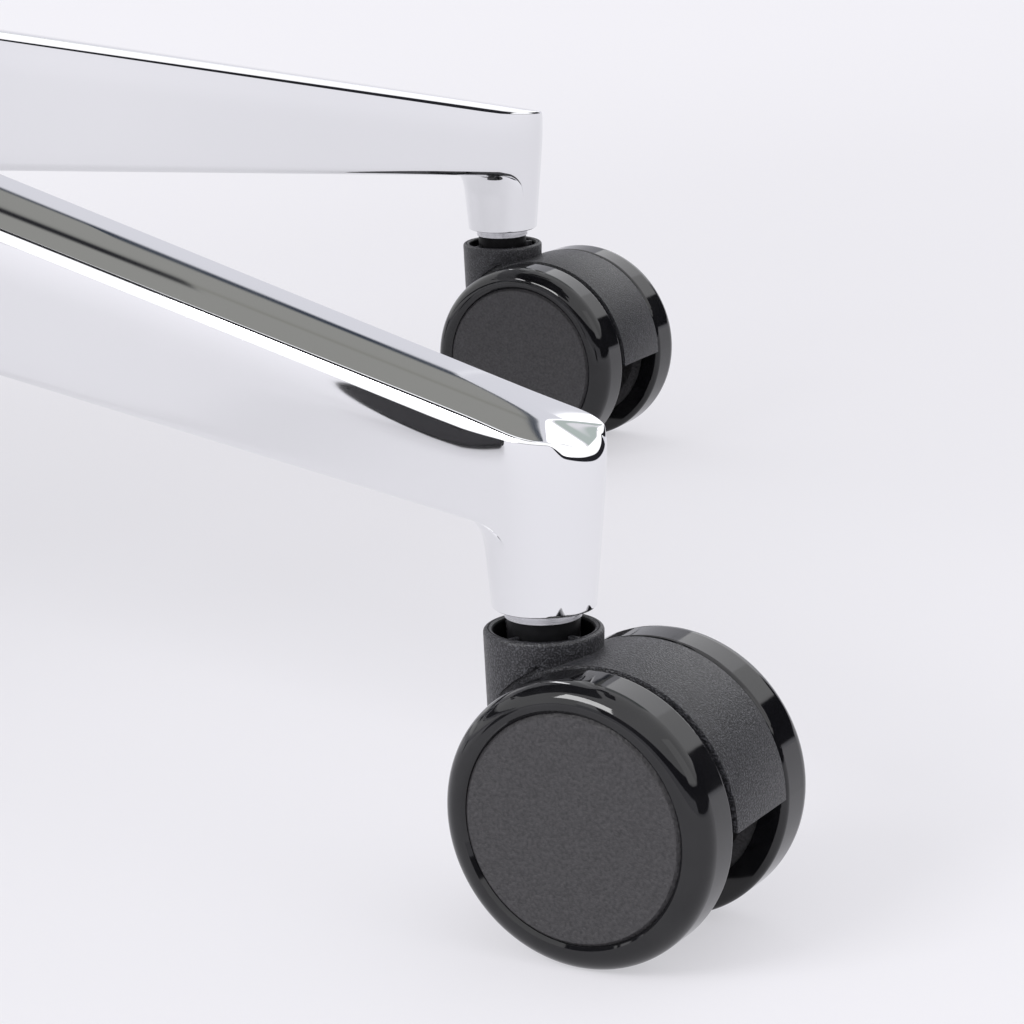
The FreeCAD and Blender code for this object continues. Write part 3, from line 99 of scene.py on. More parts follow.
# Colour of the room by height above the horizon, in degrees
BACK_BANDS = ((-90, WALL), (22.9, SLATE), (24.2, OLIVE), (29.0, SHADE), (29.8, OLIVE),
              (38.0, DUSK), (38.6, SOFTBOX))
FAR_LEFT_BANDS = ((-90, WALL), (22.9, SLATE), (23.5, OLIVE), (29.0, DUSK), (30.6, OLIVE),
                  (38.0, DUSK), (38.6, SOFTBOX))
PANEL_EDGE_BANDS = ((-90, WALL), (22.9, SLATE), (38.6, SOFTBOX))
PANEL_END_BANDS = ((-90, WALL), (38.6, SOFTBOX))
SIDE_BANDS = ((-90, WALL), (12.0, WINDOW), (34.0, PALE), (38.0, MIST), (46.0, PALE), (52.0, SOFTBOX))
LEFT_BANDS = ((-90, WALL), (3.0, SOFTBOX))
FRONT_BANDS = ((-90, WALL), (9.0, DUSK), (24.0, SOFTBOX))
RIGHT_BANDS = ((-90, WALL), (1.5, DUSK), (19.5, SOFTBOX))
# Parts of the room, with the middle and the half width of their headings, in degrees from +X
ROOM = (
    (BACK_BANDS, 113.2, 14.8),
    (FAR_LEFT_BANDS, 118, 13),
    (PANEL_EDGE_BANDS, 98.42, 0.16),
    (PANEL_END_BANDS, 97.4, 0.95),
    (LEFT_BANDS, 180, 50),
    (FRONT_BANDS, -73, 50),
    (RIGHT_BANDS, 14, 54),
)
BAND_BLUR, HEADING_BLUR, BLUR_EASE = 0.25, 0.1, 0.1
# The lower corner of the panel behind the chair is round: headings shift below a height, up to a limit
CORNER_TOP, CORNER_DEPTH, CORNER_BEND = 29.0, 5.5, 0.055


def node_in(tree, kind, **settings):
    made = tree.nodes.new(kind)
    for name, value in settings.items():
        setattr(made, name, value)
    return made


def feed(tree, socket, value):
    """Link a socket to another, or set it to a plain value."""
    if isinstance(value, bpy.types.NodeSocket):
        tree.links.new(value, socket)
    else:
        socket.default_value = value


def maths(tree, operation, *values):
    made = node_in(tree, "ShaderNodeMath", operation=operation)
    for socket, value in zip(made.inputs, values):
        feed(tree, socket, value)
    return made.outputs[0]


# Sockets of the Mix node when it mixes colours
MIX_FACTOR, MIX_FIRST, MIX_SECOND, MIX_RESULT = 0, 6, 7, 2


def blend_colour(tree, factor, first, second):
    made = node_in(tree, "ShaderNodeMix", data_type="RGBA")
    for index, value in ((MIX_FACTOR, factor), (MIX_FIRST, first), (MIX_SECOND, second)):
        feed(tree, made.inputs[index], value)
    return made.outputs[MIX_RESULT]


def banded(tree, height, bands):
    """A colour ramp over the height above the horizon."""
    made = node_in(tree, "ShaderNodeValToRGB")
    ramp = made.color_ramp
    stops = []
    for index, (start, colour) in enumerate(bands):
        if index:
            stops.append((start - BAND_BLUR, bands[index - 1][1]))
        stops.append((start + (BAND_BLUR if index else 0), colour))
    while len(ramp.elements) < len(stops):
        ramp.elements.new(0.5)
    for element, (start, colour) in zip(ramp.elements, stops):
        element.position = (start + 90) / 180
        element.color = colour
    tree.links.new(height, made.inputs[0])
    return made.outputs[0]


def within(tree, heading, middle, half):
    """1 for headings inside a spread, else 0, with a soft edge."""
    turn = maths(tree, "WRAP", maths(tree, "SUBTRACT", heading, middle), 180, -180)
    inside = maths(tree, "SUBTRACT", half, maths(tree, "ABSOLUTE", turn))
    share = maths(tree, "MAXIMUM", maths(tree, "DIVIDE", inside, HEADING_BLUR), 0)
    return maths(tree, "SMOOTH_MIN", share, 1, BLUR_EASE)


def seen(tree):
    """1 for the rays that show a background: straight, mirrored and through clear pieces."""
    path = node_in(tree, "ShaderNodeLightPath").outputs
    shiny = maths(tree, "MAXIMUM", path["Is Glossy Ray"], path["Is Transmission Ray"])
    return maths(tree, "MAXIMUM", path["Is Camera Ray"], shiny)


def add_world():
    world = bpy.data.worlds.new("studio")
    bpy.context.scene.world = world
    world.use_nodes = True
    tree = world.node_tree
    direction = node_in(tree, "ShaderNodeSeparateXYZ")
    tree.links.new(node_in(tree, "ShaderNodeTexCoord").outputs["Generated"], direction.inputs[0])
    x, y, z = direction.outputs
    height = maths(tree, "DEGREES", maths(tree, "ARCSINE", z))
    part = maths(tree, "DIVIDE", maths(tree, "ADD", height, 90), 180)
    below = maths(tree, "MAXIMUM", maths(tree, "SUBTRACT", CORNER_TOP, height), 0)
    below = maths(tree, "MINIMUM", below, CORNER_DEPTH)
    bend = maths(tree, "MULTIPLY", maths(tree, "MULTIPLY", below, below), CORNER_BEND)
    heading = maths(tree, "SUBTRACT", maths(tree, "DEGREES", maths(tree, "ARCTAN2", y, x)), bend)
    room = banded(tree, part, SIDE_BANDS)
    for bands, middle, half in ROOM:
        inside = within(tree, heading, middle, half)
        room = blend_colour(tree, inside, room, banded(tree, part, bands))
    straight = node_in(tree, "ShaderNodeLightPath").outputs["Is Camera Ray"]
    shown = blend_colour(tree, straight, room, PALE)
    tree.links.new(shown, tree.nodes["Background"].inputs["Color"])


FLOOR_HALF = 30
FLOOR_COLOUR = (0.80, 0.79, 0.83, 1)
FLOOR_GLOW = 0.60


def add_floor():
    """A pale sweep that shows as studio white and still takes the shadow of the chair."""
    mesh = bpy.data.meshes.new("floor")
    corners = ((-1, -1), (1, -1), (1, 1), (-1, 1))
    mesh.from_pydata([(x * FLOOR_HALF, y * FLOOR_HALF, 0) for x, y in corners], [], [(0, 1, 2, 3)])
    floor = bpy.data.objects.new("floor", mesh)
    bpy.context.scene.collection.objects.link(floor)
    paper = bpy.data.materials.new("floor")
    paper.use_nodes = True
    tree = paper.node_tree
    tree.nodes.remove(tree.nodes["Principled BSDF"])
    matt = node_in(tree, "ShaderNodeBsdfDiffuse")
    matt.inputs["Color"].default_value = FLOOR_COLOUR
    glow = node_in(tree, "ShaderNodeEmission")
    glow.inputs["Color"].default_value = PALE
    mixed = node_in(tree, "ShaderNodeMixShader")
    tree.links.new(maths(tree, "MULTIPLY", seen(tree), FLOOR_GLOW), mixed.inputs[0])
    tree.links.new(matt.outputs[0], mixed.inputs[1])
    tree.links.new(glow.outputs[0], mixed.inputs[2])
    tree.links.new(mixed.outputs[0], tree.nodes["Material Output"].inputs["Surface"])
    floor.data.materials.append(paper)


# Name, place, target, width, height, watts
LAMPS = (
    ("key_lamp", (-0.9, -1.7, 1.5), (0.25, -0.1, 0.1), 1.1, 0.8, 29),
    ("fill_lamp", (1.9, -0.6, 1.3), (0.2, 0, 0.3), 1.2, 1.2, 2),
)


def add_lamps():
    for name, at, target, width, height, watts in LAMPS:
        data = bpy.data.lights.new(name, "AREA")
        data.shape, data.size, data.size_y, data.energy = "RECTANGLE", width, height, watts
        lamp = bpy.data.objects.new(name, data)
        lamp.location = at
        lamp.rotation_euler = (Vector(target) - Vector(at)).to_track_quat("-Z", "Y").to_euler()
        bpy.context.scene.collection.objects.link(lamp)


# Finishes


class Finish:
    """A procedural material in the making, drawn in the piece's own coordinates."""

    def __init__(self, name, **values):
        self.material = bpy.data.materials.new(name)
        self.material.use_nodes = True
        self.tree = self.material.node_tree
        self.shader = self.tree.nodes["Principled BSDF"]
        self.place = node_in(self.tree, "ShaderNodeTexCoord").outputs["Object"]
        for socket, value in values.items():
            self.shader.inputs[socket.replace("_", " ")].default_value = value

    def noise(self, scale, detail=2.0, stretch=None):
        made = node_in(self.tree, "ShaderNodeTexNoise")
        made.inputs["Scale"].default_value = scale
        made.inputs["Detail"].default_value = detail
        self.tree.links.new(self.stretched(stretch), made.inputs["Vector"])
        return made.outputs["Fac"]

    def cells(self, scale, randomness=1.0):
        made = node_in(self.tree, "ShaderNodeTexVoronoi")
        made.inputs["Scale"].default_value = scale
        made.inputs["Randomness"].default_value = randomness
        self.tree.links.new(self.place, made.inputs["Vector"])
        return made.outputs["Distance"]

    def stretched(self, stretch):
        if stretch is None:
            return self.place
        made = node_in(self.tree, "ShaderNodeMapping")
        made.inputs["Scale"].default_value = stretch
        self.tree.links.new(self.place, made.inputs["Vector"])
        return made.outputs[0]

    def spread(self, factor, low, high, start=0.3, end=0.7):
        """A factor remapped to run from low to high."""
        made = node_in(self.tree, "ShaderNodeMapRange")
        self.tree.links.new(factor, made.inputs["Value"])
        limits = {"From Min": start, "From Max": end, "To Min": low, "To Max": high}
        for socket, value in limits.items():
            made.inputs[socket].default_value = value
        return made.outputs[0]

    def vary(self, socket, factor, low, high):
        self.tree.links.new(self.spread(factor, low, high), self.shader.inputs[socket])
        return self

    def paint(self, factor, low, high, start=0.3, end=0.7):
        """Colour between two tones."""
        made = node_in(self.tree, "ShaderNodeValToRGB")
        for element, place, tone in zip(made.color_ramp.elements, (start, end), (low, high)):
            element.position = place
            element.color = (*tone, 1)
        self.tree.links.new(factor, made.inputs[0])
        self.tree.links.new(made.outputs[0], self.shader.inputs["Base Color"])
        return self

    def relief(self, height, depth, strength=1.0):
        """Bump of a given depth in metres, on top of any bump already there."""
        made = node_in(self.tree, "ShaderNodeBump")
        made.inputs["Strength"].default_value = strength
        made.inputs["Distance"].default_value = depth
        self.tree.links.new(height, made.inputs["Height"])
        target = self.shader.inputs["Normal"]
        if target.is_linked:
            self.tree.links.new(target.links[0].from_socket, made.inputs["Normal"])
        self.tree.links.new(made.outputs[0], target)
        return self

    def add(self, first, second):
        return maths(self.tree, "ADD", first, second)


# Finishes that differ in numbers alone: the shader's own settings, then three noises as scale, detail and
# any stretch. After the first come the dark and the light tone, and where in the noise they lie if not at
# the usual places, after the second the least and most roughness, and after the third the relief's depth
# in metres and its strength.
PLAIN_FINISHES = {
    "chrome": (dict(Metallic=1),
               (9, 3), ((0.812, 0.816, 0.83), (0.85, 0.853, 0.865)), (45, 4), (0.02, 0.05),
               (30, 1), (0.00005, 0.25)),
    "steel": (dict(Metallic=1),
              (60, 3), ((0.50, 0.50, 0.52), (0.66, 0.66, 0.68)), (250, 2, (1, 1, 12)), (0.2, 0.36),
              (900, 1, (1, 1, 8)), (0.00005, 0.3)),
    "dark_steel": (dict(Specular_IOR_Level=0.5),
                   (35, 3), ((0.016, 0.016, 0.018), (0.026, 0.026, 0.028)), (120, 3), (0.40, 0.52),
                   (1400, 2), (0.00012, 0.5)),
    "cylinder": (dict(Coat_Weight=0.6, Coat_Roughness=0.08),
                 (25, 2), ((0.011, 0.011, 0.012), (0.019, 0.019, 0.02)), (90, 3), (0.18, 0.30),
                 (220, 2), (0.00003, 0.3)),
    "hood_plastic": (dict(),
                     (3400, 0), ((0.009, 0.009, 0.011), (0.066, 0.066, 0.074), 0.42, 0.78),
                     (2500, 1), (0.34, 0.48), (3400, 0), (0.00013, 0.9)),
    # Painted shade: the hood's own plastic made near-black and dull, to stand for the shade inside the cup
    "hood_well_painted_shade": (dict(Specular_IOR_Level=0.1),
                  (400, 2), ((0.003, 0.003, 0.0035), (0.007, 0.007, 0.008)), (300, 2), (0.4, 0.55),
                  (900, 2), (0.00008, 0.4)),
    "wheel_plastic": (dict(),
                      (1700, 3), ((0.022, 0.021, 0.023), (0.047, 0.045, 0.048)), (500, 2), (0.48, 0.62),
                      (1700, 3), (0.0003, 0.8)),
    "tread": (dict(IOR=1.5),
              (120, 3), ((0.004, 0.004, 0.005), (0.009, 0.009, 0.010)), (160, 4), (0.03, 0.08),
              (130, 2), (0.00004, 0.35)),
    "bush_plastic": (dict(),
                     (300, 2), ((0.030, 0.030, 0.031), (0.045, 0.045, 0.046)), (200, 2), (0.35, 0.48),
                     (900, 2), (0.00006, 0.4)),
    "rubber": (dict(),
               (200, 3), ((0.018, 0.018, 0.018), (0.030, 0.030, 0.030)), (300, 2), (0.62, 0.78),
               (800, 2), (0.0001, 0.5)),
    "thread": (dict(Sheen_Weight=0.3, Specular_IOR_Level=0.3),
               (1200, 2), ((0.055, 0.055, 0.060), (0.085, 0.085, 0.092)), (700, 2), (0.6, 0.75),
               (2500, 1), (0.0001, 0.5)),
}


def plain_finish(name):
    settings, grain, tones, wear, roughness, texture, relief = PLAIN_FINISHES[name]
    made = Finish(name, **settings)
    made.paint(made.noise(*grain), *tones)
    made.vary("Roughness", made.noise(*wear), *roughness)
    return made.relief(made.noise(*texture), *relief)


def moulded():
    made = Finish("moulded")
    made.paint(made.noise(900, 2), (0.022, 0.022, 0.024), (0.037, 0.037, 0.040))
    made.vary("Roughness", made.noise(300, 2), 0.46, 0.60)
    made.relief(made.cells(1100), 0.00014, 0.45)
    return made.relief(made.noise(45, 2), 0.0002, 0.15)


THREAD = 1.3 * MM


def fabric():
    """Two sets of threads that cross, each a row of ridges along a slanting plane."""
    made = Finish("fabric", Sheen_Weight=0.3, Sheen_Roughness=0.4, Specular_IOR_Level=0.25)
    parts = node_in(made.tree, "ShaderNodeSeparateXYZ")
    made.tree.links.new(made.place, parts.inputs[0])
    x, y, z = parts.outputs
    fall = made.add(y, z)
    waves = []
    for across in (made.add(fall, x), maths(made.tree, "SUBTRACT", fall, x)):
        turn = maths(made.tree, "MULTIPLY", across, math.tau / (THREAD * math.sqrt(2)))
        waves.append(maths(made.tree, "ABSOLUTE", maths(made.tree, "SINE", turn)))
    weave = maths(made.tree, "MAXIMUM", *waves)
    tone = made.add(maths(made.tree, "MULTIPLY", weave, 0.35), made.noise(900, 3))
    made.paint(tone, (0.016, 0.016, 0.018), (0.046, 0.046, 0.050), 0.5, 1.05)
    made.vary("Roughness", made.noise(90, 2), 0.82, 0.95)
    made.relief(made.noise(55, 3), 0.0006, 0.15)
    return made.relief(weave, 0.0004, 0.6)


def soft_pad():
    made = Finish("soft_pad", Specular_IOR_Level=0.4)
    made.paint(made.noise(150, 3), (0.017, 0.017, 0.018), (0.027, 0.027, 0.029))
    made.vary("Roughness", made.noise(120, 2), 0.50, 0.62)
    made.relief(made.cells(700, 0.9), 0.00025, 0.5)
    return made.relief(made.noise(1800, 2), 0.00008, 0.4)


MATERIALS = {slot: plain_finish(slot).material for slot in PLAIN_FINISHES}
MATERIALS |= {"moulded": moulded().material, "fabric": fabric().material, "soft_pad": soft_pad().material}


# Meshes and pieces


# Distance within which points are one, length of an edge that counts as none, and bend that counts as flat
WELD, SLIVER, FLAT = 2e-6, 1e-6, math.radians(0.4)
# Rounding of hard edges: steps across it, and the bend in degrees from which an edge gets one
EDGE_SEGMENTS, EDGE_BEND = 3, 32
# Bends in degrees that stay sharp in the shading
SHARP, NODE_SHARP, LEG_SHARP, BUTTON_SHARP = 40, 30, 35, 50


def piece_of(name, mesh, slot, body, *replaced):
    """A shown piece of the chair: its finish, the body it moves with and the solids it stands for."""
    mesh.materials.clear()
    mesh.materials.append(MATERIALS[slot])
    piece = bpy.data.objects.new(name, mesh)
    bpy.context.scene.collection.objects.link(piece)
    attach(piece, body)
    if replaced:
        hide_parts(*replaced)
    return piece


def smooth(mesh, sharp=SHARP):
    mesh.shade_smooth()
    mesh.set_sharp_from_angle(angle=math.radians(sharp))
    return mesh


def mesh_of(shape, name):
    mesh = bpy.data.meshes.new(name)
    shape.to_mesh(mesh)
    shape.free()
    return mesh


def solid_of(node):
    """A welded copy of a node's mesh with its flat faces whole."""
    shape = bmesh.new()
    shape.from_mesh(NODES[node].data)
    bmesh.ops.remove_doubles(shape, verts=shape.verts, dist=WELD)
    bmesh.ops.dissolve_limit(shape, angle_limit=FLAT, verts=shape.verts, edges=shape.edges)
    return mesh_of(shape, node)


def with_modifiers(mesh, *steps):
    """The mesh after a row of modifiers, each given as (kind, settings)."""
    holder = bpy.data.objects.new("holder", mesh)
    bpy.context.scene.collection.objects.link(holder)
    for kind, settings in steps:
        modifier = holder.modifiers.new(kind.lower(), kind)
        for name, value in settings.items():
            setattr(modifier, name, value)
    graph = bpy.context.evaluated_depsgraph_get()
    made = bpy.data.meshes.new_from_object(holder.evaluated_get(graph), depsgraph=graph)
    bpy.data.objects.remove(holder)
    return made


def soften(node, width, clamp=True):
    """The node with its hard edges rounded."""
    mesh = smooth(solid_of(node), EDGE_BEND)
    edges = dict(width=width, segments=EDGE_SEGMENTS, limit_method="ANGLE",
                 angle_limit=math.radians(EDGE_BEND), use_clamp_overlap=clamp, miter_outer="MITER_ARC")
    made = smooth(with_modifiers(mesh, ("BEVEL", edges)), EDGE_BEND)
    return piece_of(f"{node}_shape", made, SLOT_OF[node], BODY_OF[node], node)


def coordinates(mesh):
    values = np.empty(len(mesh.vertices) * 3)
    mesh.vertices.foreach_get("co", values)
    return values.reshape(-1, 3)


def normals(mesh):
    values = np.empty(len(mesh.vertices) * 3)
    mesh.vertices.foreach_get("normal", values)
    return values.reshape(-1, 3)


def set_coordinates(mesh, values):
    mesh.vertices.foreach_set("co", np.asarray(values, float).ravel())
    mesh.update()


# Chrome legs, in millimetres, along +X with the swivel axis at LEG_REACH


LEG_REACH = 300
LEG_RUN = 269
LEG_ROOT = 277
LEG_END_HALF, LEG_HUB_HALF = 10.8, 14.2
LEG_END_TOP, LEG_RISE = 88.55, 61.75
LEG_END_FLOOR, LEG_FLOOR_RISE = 71.1, 34.9
LEG_CROWN = 0.6
# Upper edge of the leg, outward: two tight turns with a steep bevel between, and a belly in the wall below
EDGE_TURN, EDGE_BEVEL = 0.5, 1.7
BEVEL_SLOPES = (64, 76)
BELLY, BELLY_SLOPES, RIM_SLOPES = 8.0, (87.8, 95.0), (91.0, 95.0)
# Rounding of the rim at the ends of the ridge and at the foremost point of the cap
RIDGE_END_ROUND, CAP_ROUND = 0.35, 2.1
# Where along the leg the bevel starts to narrow, and where it has run out
BEVEL_FULL, BEVEL_OUT = 11.0, -9.0
LEG_FLOOR_ROUND = 2.0
SLEEVE_FOOT = 56.6
SOCKET_R, SOCKET_TOP = 7.0, 81.6
# Facet that closes the end of the leg: its fall, its crown, and the line of the ridge above it
FACET_FALL, FACET_CROWN = math.radians(24.5), 0.004
RIDGE_START, RIDGE_SPREAD, RIDGE_NOSE, RIDGE_BLEND = 2.2, 0.86, 1.5, 0.25
GUSSET = 5.0
FOOT_ROUND, FOOT_RING, FOOT_STEPS = 0.2, 0.25, 5
LEAN = math.tan(math.radians(BELLY_SLOPES[1] - 90))
# Places along the leg: close together over the stretch where the lower rounding grows in, then wider
ROUND_IN, NEAR_STATIONS, FAR_STATIONS = 8, 17, 46
STATIONS = np.concatenate((np.linspace(0, ROUND_IN, NEAR_STATIONS),
                           np.linspace(ROUND_IN, LEG_ROOT, FAR_STATIONS)[1:]))
TURN_STEPS, BEVEL_STEPS, BELLY_STEPS, WALL_STEPS, FLOOR_STEPS = 6, 3, 8, 6, 5
TIP_STEPS, RING_STEPS, BACK_STEPS = 72, 22, 40


def leg_half(t):
    return LEG_END_HALF + (LEG_HUB_HALF - LEG_END_HALF) * t / LEG_RUN


def leg_edge(t):
    return LEG_END_TOP + LEG_RISE * t / LEG_RUN


def leg_floor(t):
    return LEG_END_FLOOR + LEG_FLOOR_RISE * t / LEG_RUN


def crown_height(t, y):
    return leg_edge(t) + LEG_CROWN * (1 - (y / leg_half(t)) ** 2)


def leg_top(t, y):
    """Height of the crowned top, folded down along a curved ridge to close the end of the leg."""
    ridge = -RIDGE_START - RIDGE_SPREAD * (math.hypot(y, RIDGE_NOSE) - RIDGE_NOSE)
    beyond = (ridge - t) / RIDGE_BLEND
    fold = RIDGE_BLEND * np.logaddexp(0, beyond)
    crown = FACET_CROWN * (fold / (fold + 1)) * y * y
    return crown_height(t, y) - (math.tan(FACET_FALL) - LEG_RISE / LEG_RUN) * fold - crown


def gusset_drop(away):
    """How far the rounded weld hangs below the leg at a distance from the sleeve."""
    if away >= GUSSET:
        return 0.0
    return GUSSET - math.sqrt(GUSSET ** 2 - (GUSSET - away) ** 2)


def profile(*runs):
    """(outward, down) points along arcs, each given as radius, slopes in degrees and steps."""
    points = [(0.0, 0.0)]
    for radius, start, end, steps in runs:
        out, down = points[-1]
        start, end = math.radians(start), math.radians(end)
        for a in np.linspace(start, end, steps + 1)[1:]:
            points.append((out + radius * (math.sin(a) - math.sin(start)),
                           down + radius * (math.cos(start) - math.cos(a))))
    return np.array(points)


def arc_radius(length, slopes):
    return length / math.radians(slopes[1] - slopes[0])


BELLY_RUN = (arc_radius(BELLY, BELLY_SLOPES), *BELLY_SLOPES, BELLY_STEPS)
EDGE_RUNS = profile((EDGE_TURN, 0, BEVEL_SLOPES[0], TURN_STEPS),
                    (arc_radius(EDGE_BEVEL, BEVEL_SLOPES), *BEVEL_SLOPES, BEVEL_STEPS),
                    (EDGE_TURN, BEVEL_SLOPES[1], BELLY_SLOPES[0], TURN_STEPS), BELLY_RUN)


def rim_runs(rounding):
    """(outward, down) points of a plain rounding, as many as on the leg's edge."""
    return profile((rounding, 0, RIM_SLOPES[0], 2 * TURN_STEPS + BEVEL_STEPS),
                   (arc_radius(BELLY, RIM_SLOPES), *RIM_SLOPES, BELLY_STEPS))


def eased(share):
    share = min(max(share, 0), 1)
    return share * share * (3 - 2 * share)


def runs_at(t):
    """The edge at a place along the leg: bevelled, narrowing to the ridge and rounder again at the cap."""
    if t >= BEVEL_FULL:
        return EDGE_RUNS
    cap = eased((BEVEL_OUT - t) / (BEVEL_OUT + LEG_END_HALF) + 1) if t < BEVEL_OUT / 2 else 0
    rim = rim_runs(RIDGE_END_ROUND + (CAP_ROUND - RIDGE_END_ROUND) * cap)
    return rim + (EDGE_RUNS - rim) * eased((t - BEVEL_OUT) / (BEVEL_FULL - BEVEL_OUT))


def edge_column(t, y, inward, runs):
    """Points from the top surface over the upper edge to the start of the wall."""
    points = []
    for out, down in runs:
        inset = runs[-1][0] - out
        at_t, at_y = t + inward[0] * inset, y + inward[1] * inset
        points.append((at_t, at_y, leg_top(at_t, at_y) - down))
    return points


def wall_points(start, inward, foot, steps):
    """Points down a leaning wall to a height."""
    t, y, z = start
    points = []
    for step in range(1, steps + 1):
        at_z = z + (foot - z) * step / steps
        inset = LEAN * (z - at_z)
        points.append((t + inward[0] * inset, y + inward[1] * inset, at_z))
    return points


def side_column(t, side):
    """Edge, wall and lower rounding of the leg at one station."""
    inward = (0, -side)
    points = edge_column(t, side * leg_half(t), inward, runs_at(t))
    foot = leg_floor(t) - gusset_drop(t)
    rounding = LEG_FLOOR_ROUND * min(t / ROUND_IN, 1)
    points += wall_points(points[-1], inward, foot + rounding, WALL_STEPS)
    last = points[-1]
    for step in range(1, FLOOR_STEPS + 1):
        turn = math.pi / 2 * step / FLOOR_STEPS
        inset = rounding * (1 - math.cos(turn))
        points.append((t, last[1] - side * inset, last[2] - rounding * math.sin(turn)))
    return points


def sleeve_column(start, inward):
    """The sleeve from the leg's lower line to its foot."""
    points = [start] + wall_points(start, inward, SLEEVE_FOOT + FOOT_ROUND + FOOT_RING, WALL_STEPS)
    points += wall_points(points[-1], inward, SLEEVE_FOOT + FOOT_ROUND, 1)
    t, y, z = points[-1]
    for turn in np.linspace(0, math.pi / 2, FOOT_STEPS + 1)[1:]:
        inset = FOOT_ROUND * (1 - math.cos(turn))
        points.append((t + inward[0] * inset, y + inward[1] * inset, z - FOOT_ROUND * math.sin(turn)))
    t, y, z = points[-1]
    length = math.hypot(t, y)
    ring = (SOCKET_R * t / length, SOCKET_R * y / length)
    return points + [(*ring, z), (*ring, SOCKET_TOP), (0, 0, SOCKET_TOP)]


def tip_column(angle):
    """Edge, wall and sleeve at one heading round the end of the leg."""
    inward = (math.cos(angle), -math.sin(angle))
    t, y = -LEG_END_HALF * inward[0], -LEG_END_HALF * inward[1]
    points = edge_column(t, y, inward, runs_at(t))
    return points + wall_points(points[-1], inward, LEG_END_FLOOR - gusset_drop(0), WALL_STEPS), inward


def leg_patches():
    """The skin of one leg as grids of points (t, y, z)."""
    left = [side_column(t, 1) for t in STATIONS]
    right = [side_column(t, -1) for t in STATIONS]
    tips = [tip_column(math.pi / 2 - math.pi * step / TIP_STEPS) for step in range(TIP_STEPS + 1)]
    yield left[::-1]
    yield right
    yield [points for points, inward in tips]
    yield [sleeve_column(points[-1], inward) for points, inward in tips]
    across = np.linspace(1, -1, 2 * RING_STEPS + 1)
    yield [[(t, a * row[0][1], leg_top(t, a * row[0][1])) for a in across]
           for t, row in zip(STATIONS[::-1], left[::-1])]
    yield [[(s * t, s * y, leg_top(s * t, s * y)) for s in np.linspace(0, 1, RING_STEPS + 1)]
           for t, y, z in (points[0] for points, inward in tips)]
    foot_r = left[0][-1][1]
    turns = [math.pi * step / BACK_STEPS for step in range(BACK_STEPS + 1)]
    rows = []
    for t, row in zip(STATIONS, left):
        line = []
        for turn in turns:
            start = foot_r * math.sin(turn)
            at = start + t * (LEG_ROOT - start) / LEG_ROOT
            line.append((at, row[-1][1] * math.cos(turn), leg_floor(at) - gusset_drop(at - start)))
        rows.append(line)
    yield rows
    drop = leg_floor(0) - gusset_drop(0)
    back = []
    for turn, start in zip(turns, rows[0]):
        inward = (-math.sin(turn), -math.cos(turn))
        fall = wall_points(start, inward, drop, 1)
        back.append([start] + sleeve_column(fall[-1], inward))
    yield back[::-1]


def add_grid(shape, rows, turn):
    """One grid of points as faces of a bmesh, turned about the column axis."""
    cos, sin = math.cos(turn), math.sin(turn)
    made = []
    for row in rows:
        line = []
        for t, y, z in row:
            x = LEG_REACH - t
            line.append(shape.verts.new(((x * cos - y * sin) * MM, (x * sin + y * cos) * MM, z * MM)))
        made.append(line)
    for first, second in zip(made, made[1:]):
        for a, b, c, d in zip(first, first[1:], second[1:], second):
            shape.faces.new((a, b, c, d))


def chrome_legs():
    shape = bmesh.new()
    patches = [[list(row) for row in patch] for patch in leg_patches()]
    for turn in LEG_ANGLES:
        for patch in patches:
            add_grid(shape, patch, turn)
    bmesh.ops.remove_doubles(shape, verts=shape.verts, dist=WELD)
    bmesh.ops.dissolve_degenerate(shape, edges=shape.edges, dist=SLIVER)
    open_edges = [edge for edge in shape.edges if edge.is_boundary]
    bmesh.ops.edgeloop_fill(shape, edges=open_edges)
    bmesh.ops.recalc_face_normals(shape, faces=shape.faces)
    mesh = smooth(mesh_of(shape, "base_legs_skin"), LEG_SHARP)
    return piece_of("base_legs_skin", mesh, "chrome", "base", "base_legs")


# Casters, in millimetres


# The well round the stem, inside the cup, where a near-black finish paints the shade that falls there
WELL_R, WELL_FLOOR = 8.9, 46.0
# Ribs that stiffen the cup: half width, inner and outer reach from the stem, foot and top, turn from the leg
RIBS, RIB_HALF, RIB_REACH, RIB_SPAN = 4, 0.55, (6.0, 8.85), (46.2, 52.3)
RIB_TURN = math.radians(-10)
RIB_EDGE = 0.25


def paint_shade_in_well(hood, angle):
    """Paint the shade inside the well of a caster hood's cup with a near-black second finish."""
    hood.data.materials.append(MATERIALS["hood_well_painted_shade"])
    middle = Vector((math.cos(angle), math.sin(angle))) * LEG_REACH * MM
    # Faces low inside the cup take the painted-shade finish
    for face in hood.data.polygons:
        if (face.center.xy - middle).length < WELL_R * MM and face.center.z > WELL_FLOOR * MM:
            face.material_index = 1


def cup_ribs(index, angle):
    """Upright ribs between the boss and the wall of a caster's cup."""
    shape = bmesh.new()
    middle = Vector((math.cos(angle), math.sin(angle), 0)) * LEG_REACH
    near, far = RIB_REACH
    outline = ((near, -RIB_HALF), (far, -RIB_HALF), (far, RIB_HALF), (near, RIB_HALF))
    for step in range(RIBS):
        turn = angle + RIB_TURN + math.tau * step / RIBS
        out = Vector((math.cos(turn), math.sin(turn), 0))
        across = UP.cross(out)
        foot, top = ([shape.verts.new((middle + out * reach + across * half + UP * z) * MM)
                      for reach, half in outline] for z in RIB_SPAN)
        shape.faces.new(foot[::-1])
        shape.faces.new(top)
        for i in range(len(outline)):
            shape.faces.new((foot[i - 1], foot[i], top[i], top[i - 1]))
    edges = dict(width=RIB_EDGE * MM, segments=EDGE_SEGMENTS)
    made = smooth(with_modifiers(mesh_of(shape, "ribs"), ("BEVEL", edges)))
    hood = f"caster_{index}_hood"
    return piece_of(f"caster_{index}_ribs", made, SLOT_OF[hood], BODY_OF[hood])


# Upholstery


